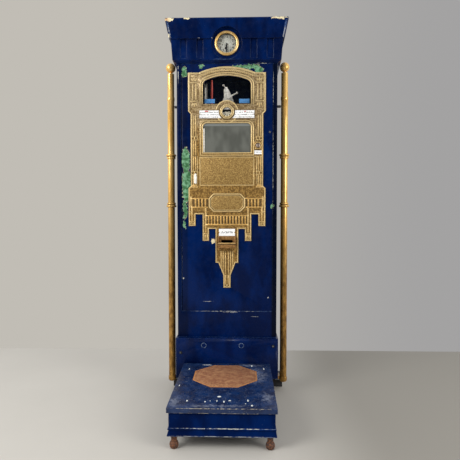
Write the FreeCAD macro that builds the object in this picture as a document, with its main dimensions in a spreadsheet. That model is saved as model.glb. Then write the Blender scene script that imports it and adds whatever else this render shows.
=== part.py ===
import FreeCAD, Part
import math
import os
import Sketcher

# Coin-operated person scale with ticket printer.
# +X is to the right of a person who stands on the platform's front side and looks at the door, +Y runs to the
# back, +Z is up. The origin is on the floor, under the middle of the whole machine.

SIZES = (
    ("platform_width", 450, "weighing plate, side to side"),
    ("platform_depth", 572, "weighing plate, front to back"),
    ("plate_top", 176, "height of the weighing plate's top"),
    ("plate_thick", 8, "weighing plate's sheet"),
    ("plate_rim", 21, "depth of the weighing plate's rim"),
    ("rim_thick", 5, "wall of the weighing plate's rim"),
    ("plate_travel", 4, "how far the weighing plate sinks under full load"),
    ("base_inset", 8, "base box behind the weighing plate's edge, each side"),
    ("base_wall", 5, "wall of the base box"),
    ("base_bottom", 58, "underside of the base box"),
    ("flange_high", 24, "foot moulding of the base box"),
    ("flange_out", 7, "foot moulding beyond the base box"),
    ("foot_radius", 19, "platform foot"),
    ("foot_neck", 12, "neck of a platform foot"),
    ("foot_inset", 28, "platform foot's centre from the base box's side"),
    ("mat_across", 305, "octagonal mat across its flats"),
    ("mat_centre", 187, "octagonal mat's centre from the plate's back edge"),
    ("mat_sink", 2, "mat's seat in the plate"),
    ("mat_proud", 1, "mat above the plate"),
    ("plinth_gap", 1, "weighing plate to plinth"),
    ("plinth_out", 8, "plinth beyond the column, each side"),
    ("plinth_step", 27, "plinth before the column"),
    ("plinth_bottom", 96, "plinth's lower edge"),
    ("plinth_top", 308, "plinth's upper edge"),
    ("plinth_wall", 14, "plinth's wall"),
    ("plinth_ledge", 8, "ledge that the column stands on"),
    ("bar_out", 35, "foot bar beyond the plinth, each side"),
    ("bar_deep", 40, "foot bar, front to back"),
    ("bar_high", 37, "foot bar's height"),
    ("riser_in", 4, "foot bar's riser within the plinth's side"),
    ("front_bar_back", 146, "front foot bar behind the plinth's front"),
    ("rear_bar_margin", 20, "rear foot bar from the column's back"),
    ("plug_radius", 12, "round plugs in the plinth"),
    ("bolt_radius", 7, "bolt heads in the plinth"),
    ("column_width", 520, "column, side to side"),
    ("column_depth", 300, "column, front to back"),
    ("column_high", 1437, "column above the plinth"),
    ("front_wall", 8, "column's front wall and the door"),
    ("side_wall", 6, "column's side walls"),
    ("back_frame", 27, "width of the frame round the back opening"),
    ("back_cover_thick", 4, "back cover's sheet"),
    ("door_sill", 138, "casing's front strip under the door opening"),
    ("door_head", 12, "casing's front strip over the door opening"),
    ("door_margin", 21, "casing's front strip beside the door"),
    ("door_gap", 1, "gap round the door"),
    ("hinge_gap", 2, "gap on the door's hinge side"),
    ("hinge_bead", 6, "radius of the bead that runs along the hinge side"),
    ("pin_radius", 3, "hinge pins"),
    ("pin_long", 34, "hinge pins' length"),
    ("pin_fit", 0.05, "running clearance round pins and shafts"),
    ("clearance", 0.3, "clearance between pieces that move apart"),
    ("cove_high", 12, "height of the crown's cove"),
    ("frieze_high", 103, "height of the frieze"),
    ("fascia_high", 93, "height of the fascia"),
    ("lid_thick", 4, "crown's lid"),
    ("frieze_out_low", 19, "frieze beyond the column at its foot"),
    ("frieze_out_high", 26, "frieze beyond the column at its head"),
    ("fascia_out_low", 34, "fascia beyond the column at its foot"),
    ("fascia_out_high", 53, "fascia beyond the column at its head"),
    ("crown_wall", 10, "crown's wall"),
    ("frieze_sunk", 5, "depth of the frieze's sunk fields"),
    ("field_wide", 33, "width of the frieze's sunk fields"),
    ("clock_drop", 22, "clock's centre under the fascia's lower edge"),
    ("bezel_radius", 62, "clock bezel's outer radius"),
    ("bezel_inner", 51, "clock bezel's opening"),
    ("bezel_out", 14, "clock bezel before the frieze"),
    ("minute_half", 2, "half width of the minute hand"),
    ("hour_half", 2.6, "half width of the hour hand"),
    ("dial_radius", 49, "clock dial"),
    ("arch_radius", 78, "round recess over the clock"),
    ("brass_thick", 4, "brass front plate"),
    ("relief", 3, "raised mouldings on the brass plate"),
    ("plate_margin", 16, "brass plate's arch under the door opening's head"),
    ("plate_arch", 31, "rise of the brass plate's arch"),
    ("plate_arch_half", 146, "half width of the brass plate's arch"),
    ("plate_upper_half", 201, "half width of the brass plate's upper part"),
    ("plate_middle_half", 188, "half width of the brass plate's middle part"),
    ("plate_lower_half", 200, "half width of the brass plate's lower part"),
    ("upper_part", 196, "height of the brass plate's upper part"),
    ("upper_curve", 14, "hollow curve under the brass plate's upper part"),
    ("middle_part", 372, "height of the brass plate's middle part"),
    ("lower_slope", 11, "slope at the head of the brass plate's lower part"),
    ("outer_part", 208, "height of the brass plate's lower part, down to the outer legs' feet"),
    ("outer_leg", 36, "width of the outer legs"),
    ("outer_gap", 37, "width of the outer gaps"),
    ("outer_gap_high", 61, "height of the outer gaps"),
    ("inner_leg", 33, "width of the inner legs"),
    ("inner_gap_high", 63, "height of the inner gaps"),
    ("inner_gap_drop", 76, "inner gaps' upper edge under that of the outer gaps"),
    ("stem_half", 59.5, "half width of the stem"),
    ("stem_long", 178, "stem, under the inner gaps' upper edge"),
    ("taper_half", 45, "half width of the taper's head"),
    ("taper_long", 65, "height of the taper"),
    ("shaft_half", 19, "half width of the shaft"),
    ("shaft_long", 66, "height of the shaft"),
    ("window_half", 124, "half width of the arched window"),
    ("window_high", 145, "height of the arched window"),
    ("window_rise", 49, "rise of the window's arch"),
    ("arch_band", 47, "band between the window's arch and the plate's arch"),
    ("window_corner", 30, "radius of the window arch's corners"),
    ("frame_wide", 17, "moulding round the window and the mirror"),
    ("port_drop", 40, "centre of the round port under the window"),
    ("port_hole", 24, "radius of the round port"),
    ("port_ring", 39, "radius of the port's ring nut"),
    ("port_ring_out", 7, "port's ring nut before the brass plate"),
    ("port_boss", 60, "radius of the boss round the port"),
    ("glass_thick", 3, "glass and mirror"),
    ("glass_lap", 9, "glass behind the edge of its opening"),
    ("mirror_half", 124, "half width of the mirror"),
    ("mirror_high", 150, "height of the mirror"),
    ("mirror_drop", 58, "mirror under the port's centre"),
    ("mirror_corner", 20, "mirror's upper corners"),
    ("cartouche_half", 95, "half width of the octagonal frame"),
    ("cartouche_high", 96, "height of the octagonal frame"),
    ("cartouche_drop", 39, "octagonal frame under the head of the lower part"),
    ("cartouche_cut", 24, "corners of the octagonal frame"),
    ("cartouche_rim", 7, "rim of the octagonal frame"),
    ("label_reach", 142, "outer edge of the enamel labels beside the port"),
    ("label_high", 40, "height of those labels"),
    ("label_gap", 3, "between those labels and the port's ring nut"),
    ("label_drop", 32, "lower edge of those labels under the port's centre"),
    ("label_thick", 1.5, "enamel labels' sheet"),
    ("slot_across", 161, "coin slot, to the right of the middle"),
    ("slot_rise", 35, "coin slot's centre over the mirror's lower edge"),
    ("slot_size", 40, "coin slot's escutcheon"),
    ("slot_boss", 15, "radius of the coin slot's boss"),
    ("coin_wide", 5, "coin slot's width"),
    ("coin_high", 27, "coin slot's height"),
    ("cup_half", 46, "half width of the ticket cup"),
    ("cup_high", 61, "height of the ticket cup"),
    ("cup_drop", 38, "ticket cup under the inner gaps' upper edge"),
    ("cup_out", 42, "ticket cup before the brass plate"),
    ("cup_wall", 3, "ticket cup's wall"),
    ("outlet_half", 30, "half width of the ticket outlet"),
    ("outlet_high", 26, "height of the ticket outlet"),
    ("outlet_rise", 12, "ticket outlet over the cup's floor"),
    ("cup_front", 26, "height of the ticket cup's front"),
    ("lock_margin", 17, "lock's centre from the door opening's side"),
    ("lock_rise", 69, "lock's centre over that of the coin slot"),
    ("lock_radius", 5, "lock's spindle"),
    ("cam_long", 26, "lock cam's reach"),
    ("rail_out", 45, "rail's axis beyond the column's side"),
    ("rail_back", 93, "rail's axis behind the column's front"),
    ("rail_radius", 18.5, "rail tube"),
    ("rail_upper_radius", 18, "rail tube above its band"),
    ("rail_foot", 42, "rail's lower end"),
    ("rail_drop", 25, "rail tube's upper end under the crown"),
    ("band_drop", 144, "lower edge of the rail's band under the rail's upper end"),
    ("rail_band_high", 21, "height of the rail's band"),
    ("ring_apart", 260, "distance between the two double rings"),
    ("ring_drop", 296, "middle of the upper double ring under the band"),
    ("ring_radius", 27.5, "larger rings"),
    ("ring_small", 24, "smaller rings"),
    ("ring_thick", 13, "height of a ring"),
    ("ring_bevel", 2, "bevel of a ring, a foot cap and a band"),
    ("rail_bevel", 3, "bevel at a rail's foot"),
    ("cap_rise", 6, "foot cap over the rail's foot"),
    ("cap_high", 20, "height of the foot cap"),
    ("cap_out", 2.5, "foot cap beyond the tube"),
    ("band_out", 1.5, "band beyond the tube"),
    ("ball_radius", 25.5, "ball finial"),
    ("ball_rise", 31, "ball finial's centre over the rail's upper end"),
    ("ball_neck", 8, "neck between the rail and its ball"),
    ("standoff_drop", 31, "upper stand-offs under the band"),
    ("standoff_radius", 7, "upper stand-offs"),
    ("stub_rise", 22, "lower brass stubs over the rail's lower end"),
    ("stub_radius", 8, "lower brass stubs"),
    ("wheel_drop", 85, "number wheel's axis under the port's centre"),
    ("wheel_radius", 100, "number wheel"),
    ("wheel_thick", 2, "number wheel's disc"),
    ("wheel_back", 58, "number wheel behind the column's front"),
    ("shaft_radius", 4, "number wheel's shaft"),
    ("gear_gap", 15, "number wheel to the gears"),
    ("gear_thick", 8, "gears' width"),
    ("pinion_radius", 12, "pinion's pitch radius"),
    ("sector_radius", 110, "sector's pitch radius"),
    ("tooth_high", 1.6, "tooth, above and below the pitch line"),
    ("tooth_wide", 1.7, "tooth's width"),
    ("gear_play", 0.2, "bottom clearance between the gears"),
    ("pendulum_angle", 64.3, "from upright to the line between pendulum and wheel"),
    ("arm_long", 25, "pendulum's short arm"),
    ("bob_long", 160, "pendulum rod"),
    ("bob_radius", 35, "pendulum bob"),
    ("bob_thick", 24, "pendulum bob's thickness"),
    ("bob_angle", 15, "pendulum rod from plumb at rest"),
    ("works_gap", 5, "draw rod to the mechanism plate"),
    ("works_thick", 6, "mechanism plate"),
    ("works_half", 170, "half width of the mechanism plate"),
    ("works_high", 282, "mechanism plate, under the shelf's top"),
    ("shelf_drop", 13, "top of the mechanism shelf under the window"),
    ("shelf_back", 66, "front edge of the mechanism shelf behind the column's front"),
    ("shelf_deep", 120, "mechanism shelf, front to back"),
    ("shelf_thick", 6, "shelves"),
    ("printer_back", 14, "printer's column behind the shelf's front edge"),
    ("printer_deep", 34, "printer's column, front to back"),
    ("printer_across", -8, "printer's column from the middle"),
    ("printer_half", 11, "half width of the printer's column"),
    ("printer_high", 114, "height of the printer's column"),
    ("printer_foot", 48, "half width of the printer's foot plate"),
    ("dome_radius", 8, "printer's dome"),
    ("dome_high", 12, "height of the printer's dome"),
    ("skirt_radius", 31, "printer's round skirt"),
    ("skirt_high", 54, "height of the printer's skirt"),
    ("shoulder_radius", 4, "top of the printer's sloped shoulder"),
    ("knob_lean", 14, "reach of the printer's slanted knob"),
    ("knob_radius", 6, "knobs of the printer"),
    ("arm_across", 6, "print arm's pivot from the middle"),
    ("arm_rise", 64, "print arm's pivot over the shelf"),
    ("magazine_across", 116, "ticket magazine from the middle"),
    ("magazine_half", 6, "half width of the ticket magazine"),
    ("magazine_wall", 1.5, "ticket magazine's sheet"),
    ("magazine_high", 144, "height of the ticket magazine"),
    ("ribbon_across", 84, "ribbon rod from the middle"),
    ("ribbon_radius", 6, "ribbon rod"),
    ("ribbon_high", 160, "height of the ribbon rod"),
    ("rod_radius", 4, "draw rod"),
    ("rod_gap", 1, "gears to the draw rod"),
    ("lever_thick", 14, "base lever's bars"),
    ("lever_foot", 64, "base lever's underside"),
    ("load_inset", 185, "weighing plate's load line before the platform's back"),
    ("lever_pin", 4, "base lever's fulcrum pins"),
    ("pin_reach", 10, "fulcrum pins beyond the base lever"),
    ("lever_overhang", 22, "base lever's bars beyond the weighing plate's posts"),
    ("plug_left", 120, "plinth's left plug from the middle"),
    ("plug_right", 76, "plinth's right plug from the middle"),
    ("plug_drop", 37, "plinth's plugs under its top"),
    ("plug_proud", 2, "plinth's plugs before its front"),
    ("bolt_across", 242, "plinth's bolts from the middle"),
    ("bolt_low", 76, "plinth's left bolt under its top"),
    ("bolt_drop", 39, "plinth's right bolt under its top"),
    ("bolt_head", 5, "height of a plinth bolt's head"),
    ("hub_radius", 13, "pendulum's hub"),
    ("stud_radius", 4, "pendulum's stud"),
    ("stud_collar", 7, "collar on the pendulum's stud"),
    ("sector_rim", 9, "sector's rim"),
    ("arm_half", 5, "half height of the pendulum's short arm"),
    ("arm_pin", 3, "pin of the pendulum's short arm"),
    ("arm_eye", 8, "eye of the pendulum's short arm"),
    ("chute_bend", 84, "ticket chute's bend over its mouth"),
    ("chute_tab", 14, "ticket chute's fixing tabs beside it"),
    ("coin_half", 14, "half width of the coin chute"),
    ("coin_deep", 30, "coin chute, front to back"),
    ("coin_back", 14, "coin chute before the rails' line"),
    ("handle_half", 30, "half width of the cash box's handle"),
    ("handle_rise", 60, "cash box's handle over its shelf"),
    ("handle_thick", 6, "cash box's handle"),
    ("handle_out", 14, "cash box's handle before the box"),
    ("tray_edge", 12, "cash box's shelf beside the box"),
    ("tray_lip", 18, "height of the lip on the cash box's shelf"),
    ("lever_load", 265, "base lever, from its fulcrum to the weighing plate's posts"),
    ("post_across", 120, "weighing plate's posts from the middle"),
    ("post_radius", 9, "weighing plate's posts"),
    ("chute_half", 32, "half width of the ticket chute"),
    ("chute_deep", 22, "ticket chute, front to back"),
    ("sheet", 2, "sheet metal of chutes and cash box"),
    ("box_wide", 150, "cash box"),
    ("box_deep", 130, "cash box, front to back"),
    ("box_high", 120, "cash box's height"),
    ("box_rise", 54, "top of the cash box's shelf over the door opening's lower edge"),
)


class Size:
    """A length that keeps the document expression beside its value, so that plain arithmetic gives both."""

    def __init__(self, value, text):
        self.value = value
        self.text = text

    def __add__(self, other):
        other = as_size(other)
        return Size(self.value + other.value, "(" + self.text + " + " + other.text + ")")

    def __sub__(self, other):
        other = as_size(other)
        return Size(self.value - other.value, "(" + self.text + " - " + other.text + ")")

    def __mul__(self, other):
        other = as_size(other)
        return Size(self.value * other.value, "(" + self.text + " * " + other.text + ")")

    def __truediv__(self, other):
        other = as_size(other)
        return Size(self.value / other.value, "(" + self.text + " / " + other.text + ")")

    def __neg__(self):
        return Size(-self.value, "(-1 * " + self.text + ")")

    def __radd__(self, other):
        return as_size(other) + self

    def __rsub__(self, other):
        return as_size(other) - self

    def __rmul__(self, other):
        return as_size(other) * self


def as_size(number):
    """A plain number as a Size."""
    if isinstance(number, Size):
        return number
    return Size(float(number), "(" + repr(float(number)) + ")")


def sine(degrees):
    """Sine of an angle in degrees."""
    degrees = as_size(degrees)
    return Size(math.sin(math.radians(degrees.value)), "sin(" + degrees.text + ")")


def cosine(degrees):
    """Cosine of an angle in degrees."""
    return sine(as_size(90) - degrees)


doc = FreeCAD.newDocument("person_scale")
sheet = doc.addObject("Spreadsheet::Sheet", "sizes")


class Sheet:
    """The driving dimensions, each read from its cell of the sheet."""


for row, (word, number, meaning) in enumerate(SIZES, start=1):
    sheet.set("A" + str(row), str(number))
    sheet.setAlias("A" + str(row), word)
    sheet.set("B" + str(row), "'" + meaning)
    setattr(Sheet, word, Size(float(number), "sizes." + word))
doc.recompute()
S = Sheet

# Heights over the floor, from the plinth up
S.column_top = S.plinth_top + S.column_high
S.door_bottom = S.plinth_top + S.door_sill
S.door_top = S.column_top - S.door_head
S.crown_cove = S.column_top - S.cove_high
S.crown_frieze = S.column_top
S.crown_fascia = S.crown_frieze + S.frieze_high
S.crown_top = S.crown_fascia + S.fascia_high
S.clock_height = S.crown_fascia - S.clock_drop
S.box_shelf = S.door_bottom + S.box_rise

# Heights of the brass plate and what it carries, from the door's head down
S.plate_high = S.door_top - S.plate_margin - S.plate_arch
S.upper_foot = S.plate_high - S.upper_part
S.lower_head = S.upper_foot - S.upper_curve - S.middle_part
S.outer_leg_foot = S.lower_head - S.outer_part
S.outer_gap_top = S.outer_leg_foot + S.outer_gap_high
S.inner_gap_top = S.outer_gap_top - S.inner_gap_drop
S.inner_leg_foot = S.inner_gap_top - S.inner_gap_high
S.stem_foot = S.inner_gap_top - S.stem_long
S.taper_foot = S.stem_foot - S.taper_long
S.shaft_foot = S.taper_foot - S.shaft_long
S.window_crown = S.plate_high + S.plate_arch - S.arch_band
S.window_spring = S.window_crown - S.window_rise
S.window_sill = S.window_crown - S.window_high
S.port_height = S.window_sill - S.port_drop
S.label_foot = S.port_height - S.label_drop
S.mirror_head = S.port_height - S.mirror_drop
S.mirror_foot = S.mirror_head - S.mirror_high
S.slot_height = S.mirror_foot + S.slot_rise
S.lock_height = S.slot_height + S.lock_rise
S.cartouche_head = S.lower_head - S.cartouche_drop
S.cartouche_foot = S.cartouche_head - S.cartouche_high
S.cup_head = S.inner_gap_top - S.cup_drop
S.cup_foot = S.cup_head - S.cup_high
S.shelf_height = S.window_sill - S.shelf_drop
S.works_foot = S.shelf_height - S.works_high
S.wheel_height = S.port_height - S.wheel_drop

# Heights on the hand rails
S.rail_head = S.crown_cove - S.rail_drop
S.ball_height = S.rail_head + S.ball_rise
S.rail_band = S.rail_head - S.band_drop
S.standoff_height = S.rail_band - S.standoff_drop
S.ring_high = S.rail_band - S.ring_drop
S.ring_low = S.ring_high - S.ring_apart
S.stub_height = S.rail_foot + S.stub_rise

# Places across, from the middle
S.plinth_width = S.column_width + 2 * S.plinth_out
S.bar_width = S.plinth_width + 2 * S.bar_out
S.bar_riser = S.plinth_width / 2 - S.riser_in
S.rail_across = S.column_width / 2 + S.rail_out
S.lock_across = S.column_width / 2 - S.door_margin - S.lock_margin

# Places of the works behind the column's front
S.gear_back = S.wheel_back + S.wheel_thick + S.gear_gap
S.rod_back = S.gear_back + S.gear_thick + S.rod_gap + S.rod_radius
S.works_back = S.rod_back + S.rod_radius + S.works_gap

SUB_PARTS = []
X_AXIS = FreeCAD.Vector(1, 0, 0)
Y_AXIS = FreeCAD.Vector(0, 1, 0)
Z_AXIS = FreeCAD.Vector(0, 0, 1)
TURNS = {
    "x": FreeCAD.Rotation(Y_AXIS, 90),
    "y": FreeCAD.Rotation(X_AXIS, -90),
    "z": FreeCAD.Rotation(),
}
SOLID_NAMES = iter(range(1, 10000))


def next_name(kind):
    """A document name of its own for a helper solid."""
    return kind + str(next(SOLID_NAMES))


def place(thing, x, y, z):
    """Bind a solid's place to the sheet."""
    for axis, size in (("x", x), ("y", y), ("z", z)):
        size = as_size(size)
        setattr(thing.Placement.Base, axis, size.value)
        thing.setExpression("Placement.Base." + axis, size.text)
    return thing


def bind(thing, **sizes):
    """Bind a solid's own sizes to the sheet."""
    for word, size in sizes.items():
        thing.setExpression(word, as_size(size).text)
    return thing


def block(x, y, z):
    """A box between two limits on each axis."""
    box = doc.addObject("Part::Box", next_name("block"))
    bind(box, Length=x[1] - x[0], Width=y[1] - y[0], Height=z[1] - z[0])
    return place(box, x[0], y[0], z[0])


def rod(axis, radius, start, length):
    """A round bar along one axis, from its start point."""
    bar = doc.addObject("Part::Cylinder", next_name("rod"))
    bar.Placement = FreeCAD.Placement(FreeCAD.Vector(), TURNS[axis])
    bind(bar, Radius=radius, Height=length)
    return place(bar, *start)


def cone(axis, radius, end_radius, start, length):
    """A tapered round bar along one axis, from its start point."""
    bar = doc.addObject("Part::Cone", next_name("cone"))
    bar.Placement = FreeCAD.Placement(FreeCAD.Vector(), TURNS[axis])
    bind(bar, Radius1=radius, Radius2=end_radius, Height=length)
    return place(bar, *start)


def ball(radius, centre):
    """A ball round its centre."""
    sphere = doc.addObject("Part::Sphere", next_name("ball"))
    bind(sphere, Radius=radius)
    return place(sphere, *centre)


def flared(z, half_low, half_high, front_low, front_high, back):
    """A block that grows from foot to head at both sides and the front, with an upright back."""
    wedge = doc.addObject("Part::Wedge", next_name("flared"))
    bind(wedge, Xmin=-half_low, Xmax=half_low, X2min=-half_high, X2max=half_high)
    bind(wedge, Ymin=0, Ymax=z[1] - z[0])
    bind(wedge, Zmin=-back, Zmax=-front_low, Z2min=-back, Z2max=-front_high)
    wedge.Placement = FreeCAD.Placement(FreeCAD.Vector(), FreeCAD.Rotation(X_AXIS, 90))
    return place(wedge, 0, 0, z[0])


def cut(base, *tools):
    """The base without the tools."""
    result = doc.addObject("Part::Cut", next_name("cut"))
    result.Base = base
    result.Tool = tools[0] if len(tools) == 1 else fuse(*tools)
    return result


def fuse(*pieces):
    """The pieces as one solid."""
    result = doc.addObject("Part::MultiFuse", next_name("fuse"))
    result.Shapes = list(pieces)
    return result


def common(base, tool):
    """What two solids share."""
    result = doc.addObject("Part::Common", next_name("common"))
    result.Base = base
    result.Tool = tool
    return result


def group(*pieces):
    """Separate solids under one name."""
    result = doc.addObject("Part::Compound", next_name("group"))
    result.Links = list(pieces)
    return result


def sub_part(thing, label):
    """Give a finished piece its name."""
    thing.Label = label
    SUB_PARTS.append(thing)
    return thing


def sketch(body, role, outline):
    """A closed outline on one of the body's own planes.

    The outline is a list of corners (u, v), or (u, v, radius, centre u, centre v) where an arc leads on from the
    corner, the short way round its centre. Each corner is tied to the sheet.
    """
    drawing = body.newObject("Sketcher::SketchObject", next_name("sketch"))
    plane = [item for item in body.Origin.OriginFeatures if item.Role == role][0]
    drawing.AttachmentSupport = [(plane, "")]
    drawing.MapMode = "FlatFace"
    corners = [[as_size(number) for number in corner] for corner in outline]
    count = len(corners)
    ends = []
    for index, corner in enumerate(corners):
        after = corners[(index + 1) % count]
        start = FreeCAD.Vector(corner[0].value, corner[1].value, 0)
        finish = FreeCAD.Vector(after[0].value, after[1].value, 0)
        if len(corner) == 2:
            drawing.addGeometry(Part.LineSegment(start, finish))
            ends.append((1, 2))
            continue
        radius = corner[2]
        centre = FreeCAD.Vector(corner[3].value, corner[4].value, 0)
        angle_a = math.atan2(start.y - centre.y, start.x - centre.x)
        angle_b = math.atan2(finish.y - centre.y, finish.x - centre.x)
        left_turn = (angle_b - angle_a) % (2 * math.pi) < math.pi
        circle = Part.Circle(centre, Z_AXIS, radius.value)
        if left_turn:
            drawing.addGeometry(Part.ArcOfCircle(circle, angle_a, angle_b))
            ends.append((1, 2))
        else:
            drawing.addGeometry(Part.ArcOfCircle(circle, angle_b, angle_a))
            ends.append((2, 1))
    for index in range(count):
        following = (index + 1) % count
        drawing.addConstraint(
            Sketcher.Constraint("Coincident", index, ends[index][1], following, ends[following][0])
        )
    for index, corner in enumerate(corners):
        tie(drawing, "DistanceX", index, ends[index][0], corner[0])
        tie(drawing, "DistanceY", index, ends[index][0], corner[1])
        if len(corner) > 2:
            number = drawing.addConstraint(Sketcher.Constraint("Radius", index, corner[2].value))
            drawing.setExpression("Constraints[" + str(number) + "]", corner[2].text)
    return drawing


def tie(drawing, kind, element, end, size):
    """Tie one end of a line or arc to its distance from the sketch's origin."""
    number = drawing.addConstraint(Sketcher.Constraint(kind, -1, 1, element, end, size.value))
    drawing.setExpression("Constraints[" + str(number) + "]", size.text)


def padded(outline, y):
    """An upright plate: its outline seen from the front, between two depths."""
    body = doc.addObject("PartDesign::Body", next_name("plate"))
    pad = body.newObject("PartDesign::Pad", next_name("pad"))
    pad.Profile = sketch(body, "XZ_Plane", outline)
    bind(pad, Length=y[1] - y[0])
    return place(body, 0, y[1], 0)


def layered(outline, z):
    """A flat plate: its outline seen from above, between two heights."""
    body = doc.addObject("PartDesign::Body", next_name("plate"))
    pad = body.newObject("PartDesign::Pad", next_name("pad"))
    pad.Profile = sketch(body, "XY_Plane", outline)
    bind(pad, Length=z[1] - z[0])
    return place(body, 0, 0, z[0])


def turned(outline, x, y):
    """A turned piece: its half outline (radius, height) swept round an upright axis."""
    body = doc.addObject("PartDesign::Body", next_name("turned"))
    drawing = sketch(body, "XZ_Plane", outline)
    sweep = body.newObject("PartDesign::Revolution", next_name("sweep"))
    sweep.Profile = drawing
    sweep.ReferenceAxis = (drawing, ["V_Axis"])
    sweep.Angle = 360
    return place(body, x, y, 0)


# Depths that everything shares
platform_front = -(S.platform_depth + S.plinth_gap + S.plinth_step + S.column_depth) / 2
platform_back = platform_front + S.platform_depth
plinth_front = platform_back + S.plinth_gap
column_front = plinth_front + S.plinth_step
column_back = column_front + S.column_depth
brass_front = column_front - S.brass_thick
door_back = column_front + S.front_wall
column_half = S.column_width / 2
inner_half = column_half - S.side_wall
plinth_half = S.plinth_width / 2
plate_half = S.platform_width / 2


def plinth():
    """Cast collar that carries the column: four walls with a ledge at the top, and holes for plugs and bolts."""
    inner = plinth_half - S.plinth_wall
    shell = block((-plinth_half, plinth_half), (plinth_front, column_back), (S.plinth_bottom, S.plinth_top))
    hollow = block(
        (-inner, inner),
        (plinth_front + S.plinth_wall, column_back - S.plinth_wall),
        (S.plinth_bottom - 1, S.plinth_top - S.plinth_ledge),
    )
    mouth = block(
        (-inner + S.side_wall, inner - S.side_wall),
        (door_back + S.side_wall, column_back - S.plinth_wall),
        (S.plinth_top - S.plinth_ledge - 1, S.plinth_top + 1),
    )
    holes = []
    for x, z in PLUG_PLACES:
        holes.append(rod("y", S.plug_radius, (x, plinth_front - 1, z), S.plinth_wall + 2))
    for x, z in BOLT_PLACES:
        holes.append(rod("y", S.bolt_radius / 2, (x, plinth_front - 1, z), S.plinth_wall + 2))
    sub_part(cut(shell, hollow, mouth, *holes), "plinth")
    plugs = []
    for x, z in PLUG_PLACES:
        plugs.append(rod("y", S.plug_radius - S.pin_fit, (x, plinth_front - S.plug_proud, z), S.plinth_wall))
    sub_part(group(*plugs), "plinth_plugs")
    bolts = []
    for x, z in BOLT_PLACES:
        head = rod("y", S.bolt_radius, (x, plinth_front - S.bolt_head, z), S.bolt_head)
        shank = rod("y", S.bolt_radius / 2 - S.pin_fit, (x, plinth_front - 1, z), S.plinth_wall + 1)
        bolts.append(fuse(head, shank))
    sub_part(group(*bolts), "plinth_bolts")


PLUG_PLACES = ((-S.plug_left, S.plinth_top - S.plug_drop), (S.plug_right, S.plinth_top - S.plug_drop))
BOLT_PLACES = ((-S.bolt_across, S.plinth_top - S.bolt_low), (S.bolt_across, S.plinth_top - S.bolt_drop))


def foot_bars():
    """Two black bars across under the plinth, with risers between their ends."""
    half = S.bar_width / 2
    rear = column_back - S.rear_bar_margin - S.bar_deep
    front = plinth_front + S.front_bar_back
    for label, y in (("front_foot_bar", front), ("rear_foot_bar", rear)):
        bar = block((-half, half), (y, y + S.bar_deep), (0, S.bar_high))
        riser = block((-S.bar_riser, S.bar_riser), (y, y + S.bar_deep), (S.bar_high - 1, S.plinth_bottom))
        sub_part(fuse(bar, riser), label)


pivot_x = -column_half + S.door_margin + S.hinge_gap + S.hinge_bead
pivot_y = column_front + S.hinge_bead
opening_half = column_half - S.door_margin
pivot_block = S.hinge_bead * 2 + 4


def pivot_seat(z):
    """Thick place in the casing that holds one hinge pin."""
    x = (-inner_half, pivot_x + S.hinge_bead + 4)
    return block(x, (column_front, column_front + pivot_block), z)


def casing():
    """Sheet and angle column: front strips, fixed lower panel, sides and a framed back opening."""
    shell = block((-column_half, column_half), (column_front, column_back), (S.plinth_top, S.column_top))
    flange = S.side_wall
    cavity = block(
        (-inner_half, inner_half),
        (door_back, column_back - flange * 2),
        (S.plinth_top - 1, S.column_top + 1),
    )
    recess = block(
        (-inner_half, inner_half),
        (column_back - flange, column_back + 1),
        (S.plinth_top + flange, S.column_top - flange),
    )
    rear = inner_half - S.back_frame
    rear_opening = block(
        (-rear, rear),
        (column_back - flange * 3, column_back),
        (S.plinth_top + S.back_frame, S.column_top - S.back_frame),
    )
    doorway = block((-opening_half, opening_half), (column_front - 1, door_back + 1), (S.door_bottom, S.door_top))
    hollowed = cut(shell, cavity, recess, rear_opening, doorway)
    seats = fuse(
        hollowed,
        pivot_seat((S.door_bottom - S.pin_long / 2 - 3, S.door_bottom)),
        pivot_seat((S.door_top, S.column_top)),
    )
    bores = [
        rod("z", S.pin_radius + S.pin_fit, (pivot_x, pivot_y, S.door_bottom - S.pin_long / 2), S.pin_long / 2 + 1),
        rod("z", S.pin_radius + S.pin_fit, (pivot_x, pivot_y, S.door_top - 1), S.column_top - S.door_top),
    ]
    for side in (-1, 1):
        bores.append(rod("x", S.standoff_radius, standoff_start(side), S.side_wall + 2))
    for x, z in cover_screw_places():
        bores.append(rod("y", SCREW + S.pin_fit, (x, column_back - flange * 2 - 1, z), flange + 2))
    sub_part(cut(seats, *bores), "column_casing")
    low = rod("z", S.pin_radius, (pivot_x, pivot_y, S.door_bottom - S.pin_long / 2), S.pin_long)
    high_foot = S.door_top - S.pin_long / 2
    high = rod("z", S.pin_radius, (pivot_x, pivot_y, high_foot), S.column_top - 2 - high_foot)
    sub_part(group(low, high), "door_pivot_pins")


SCREW = as_size(2.5)


def standoff_start(side):
    """Where the stand-off's hole through one side wall begins."""
    x = column_half * side - (S.side_wall + 1 if side > 0 else as_size(1))
    return (x, column_front + S.rail_back, S.standoff_height)


def cover_screw_places():
    """Centres of the back cover's screws."""
    across = inner_half - S.back_frame / 2
    heights = (S.plinth_top + S.back_frame, (S.plinth_top + S.column_top) / 2, S.column_top - S.back_frame)
    return [(across * side, z) for side in (-1, 1) for z in heights]


def back_cover():
    """Flat sheet in the back recess, with six screws."""
    flange = S.side_wall
    half = inner_half - 0.5
    y = (column_back - flange, column_back - flange + S.back_cover_thick)
    z = (S.plinth_top + flange + 0.5, S.column_top - flange - 0.5)
    sheet_piece = block((-half, half), y, z)
    holes = [rod("y", SCREW + S.pin_fit, (x, y[0] - 1, height), S.back_cover_thick + 2)
             for x, height in cover_screw_places()]
    sub_part(cut(sheet_piece, *holes), "back_cover")
    screws = []
    for x, height in cover_screw_places():
        shank = rod("y", SCREW, (x, y[0] - flange, height), flange + S.back_cover_thick + 1)
        head = rod("y", SCREW * 2, (x, y[1], height), 1.8)
        screws.append(fuse(shank, head))
    sub_part(group(*screws), "back_cover_screws")


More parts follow.
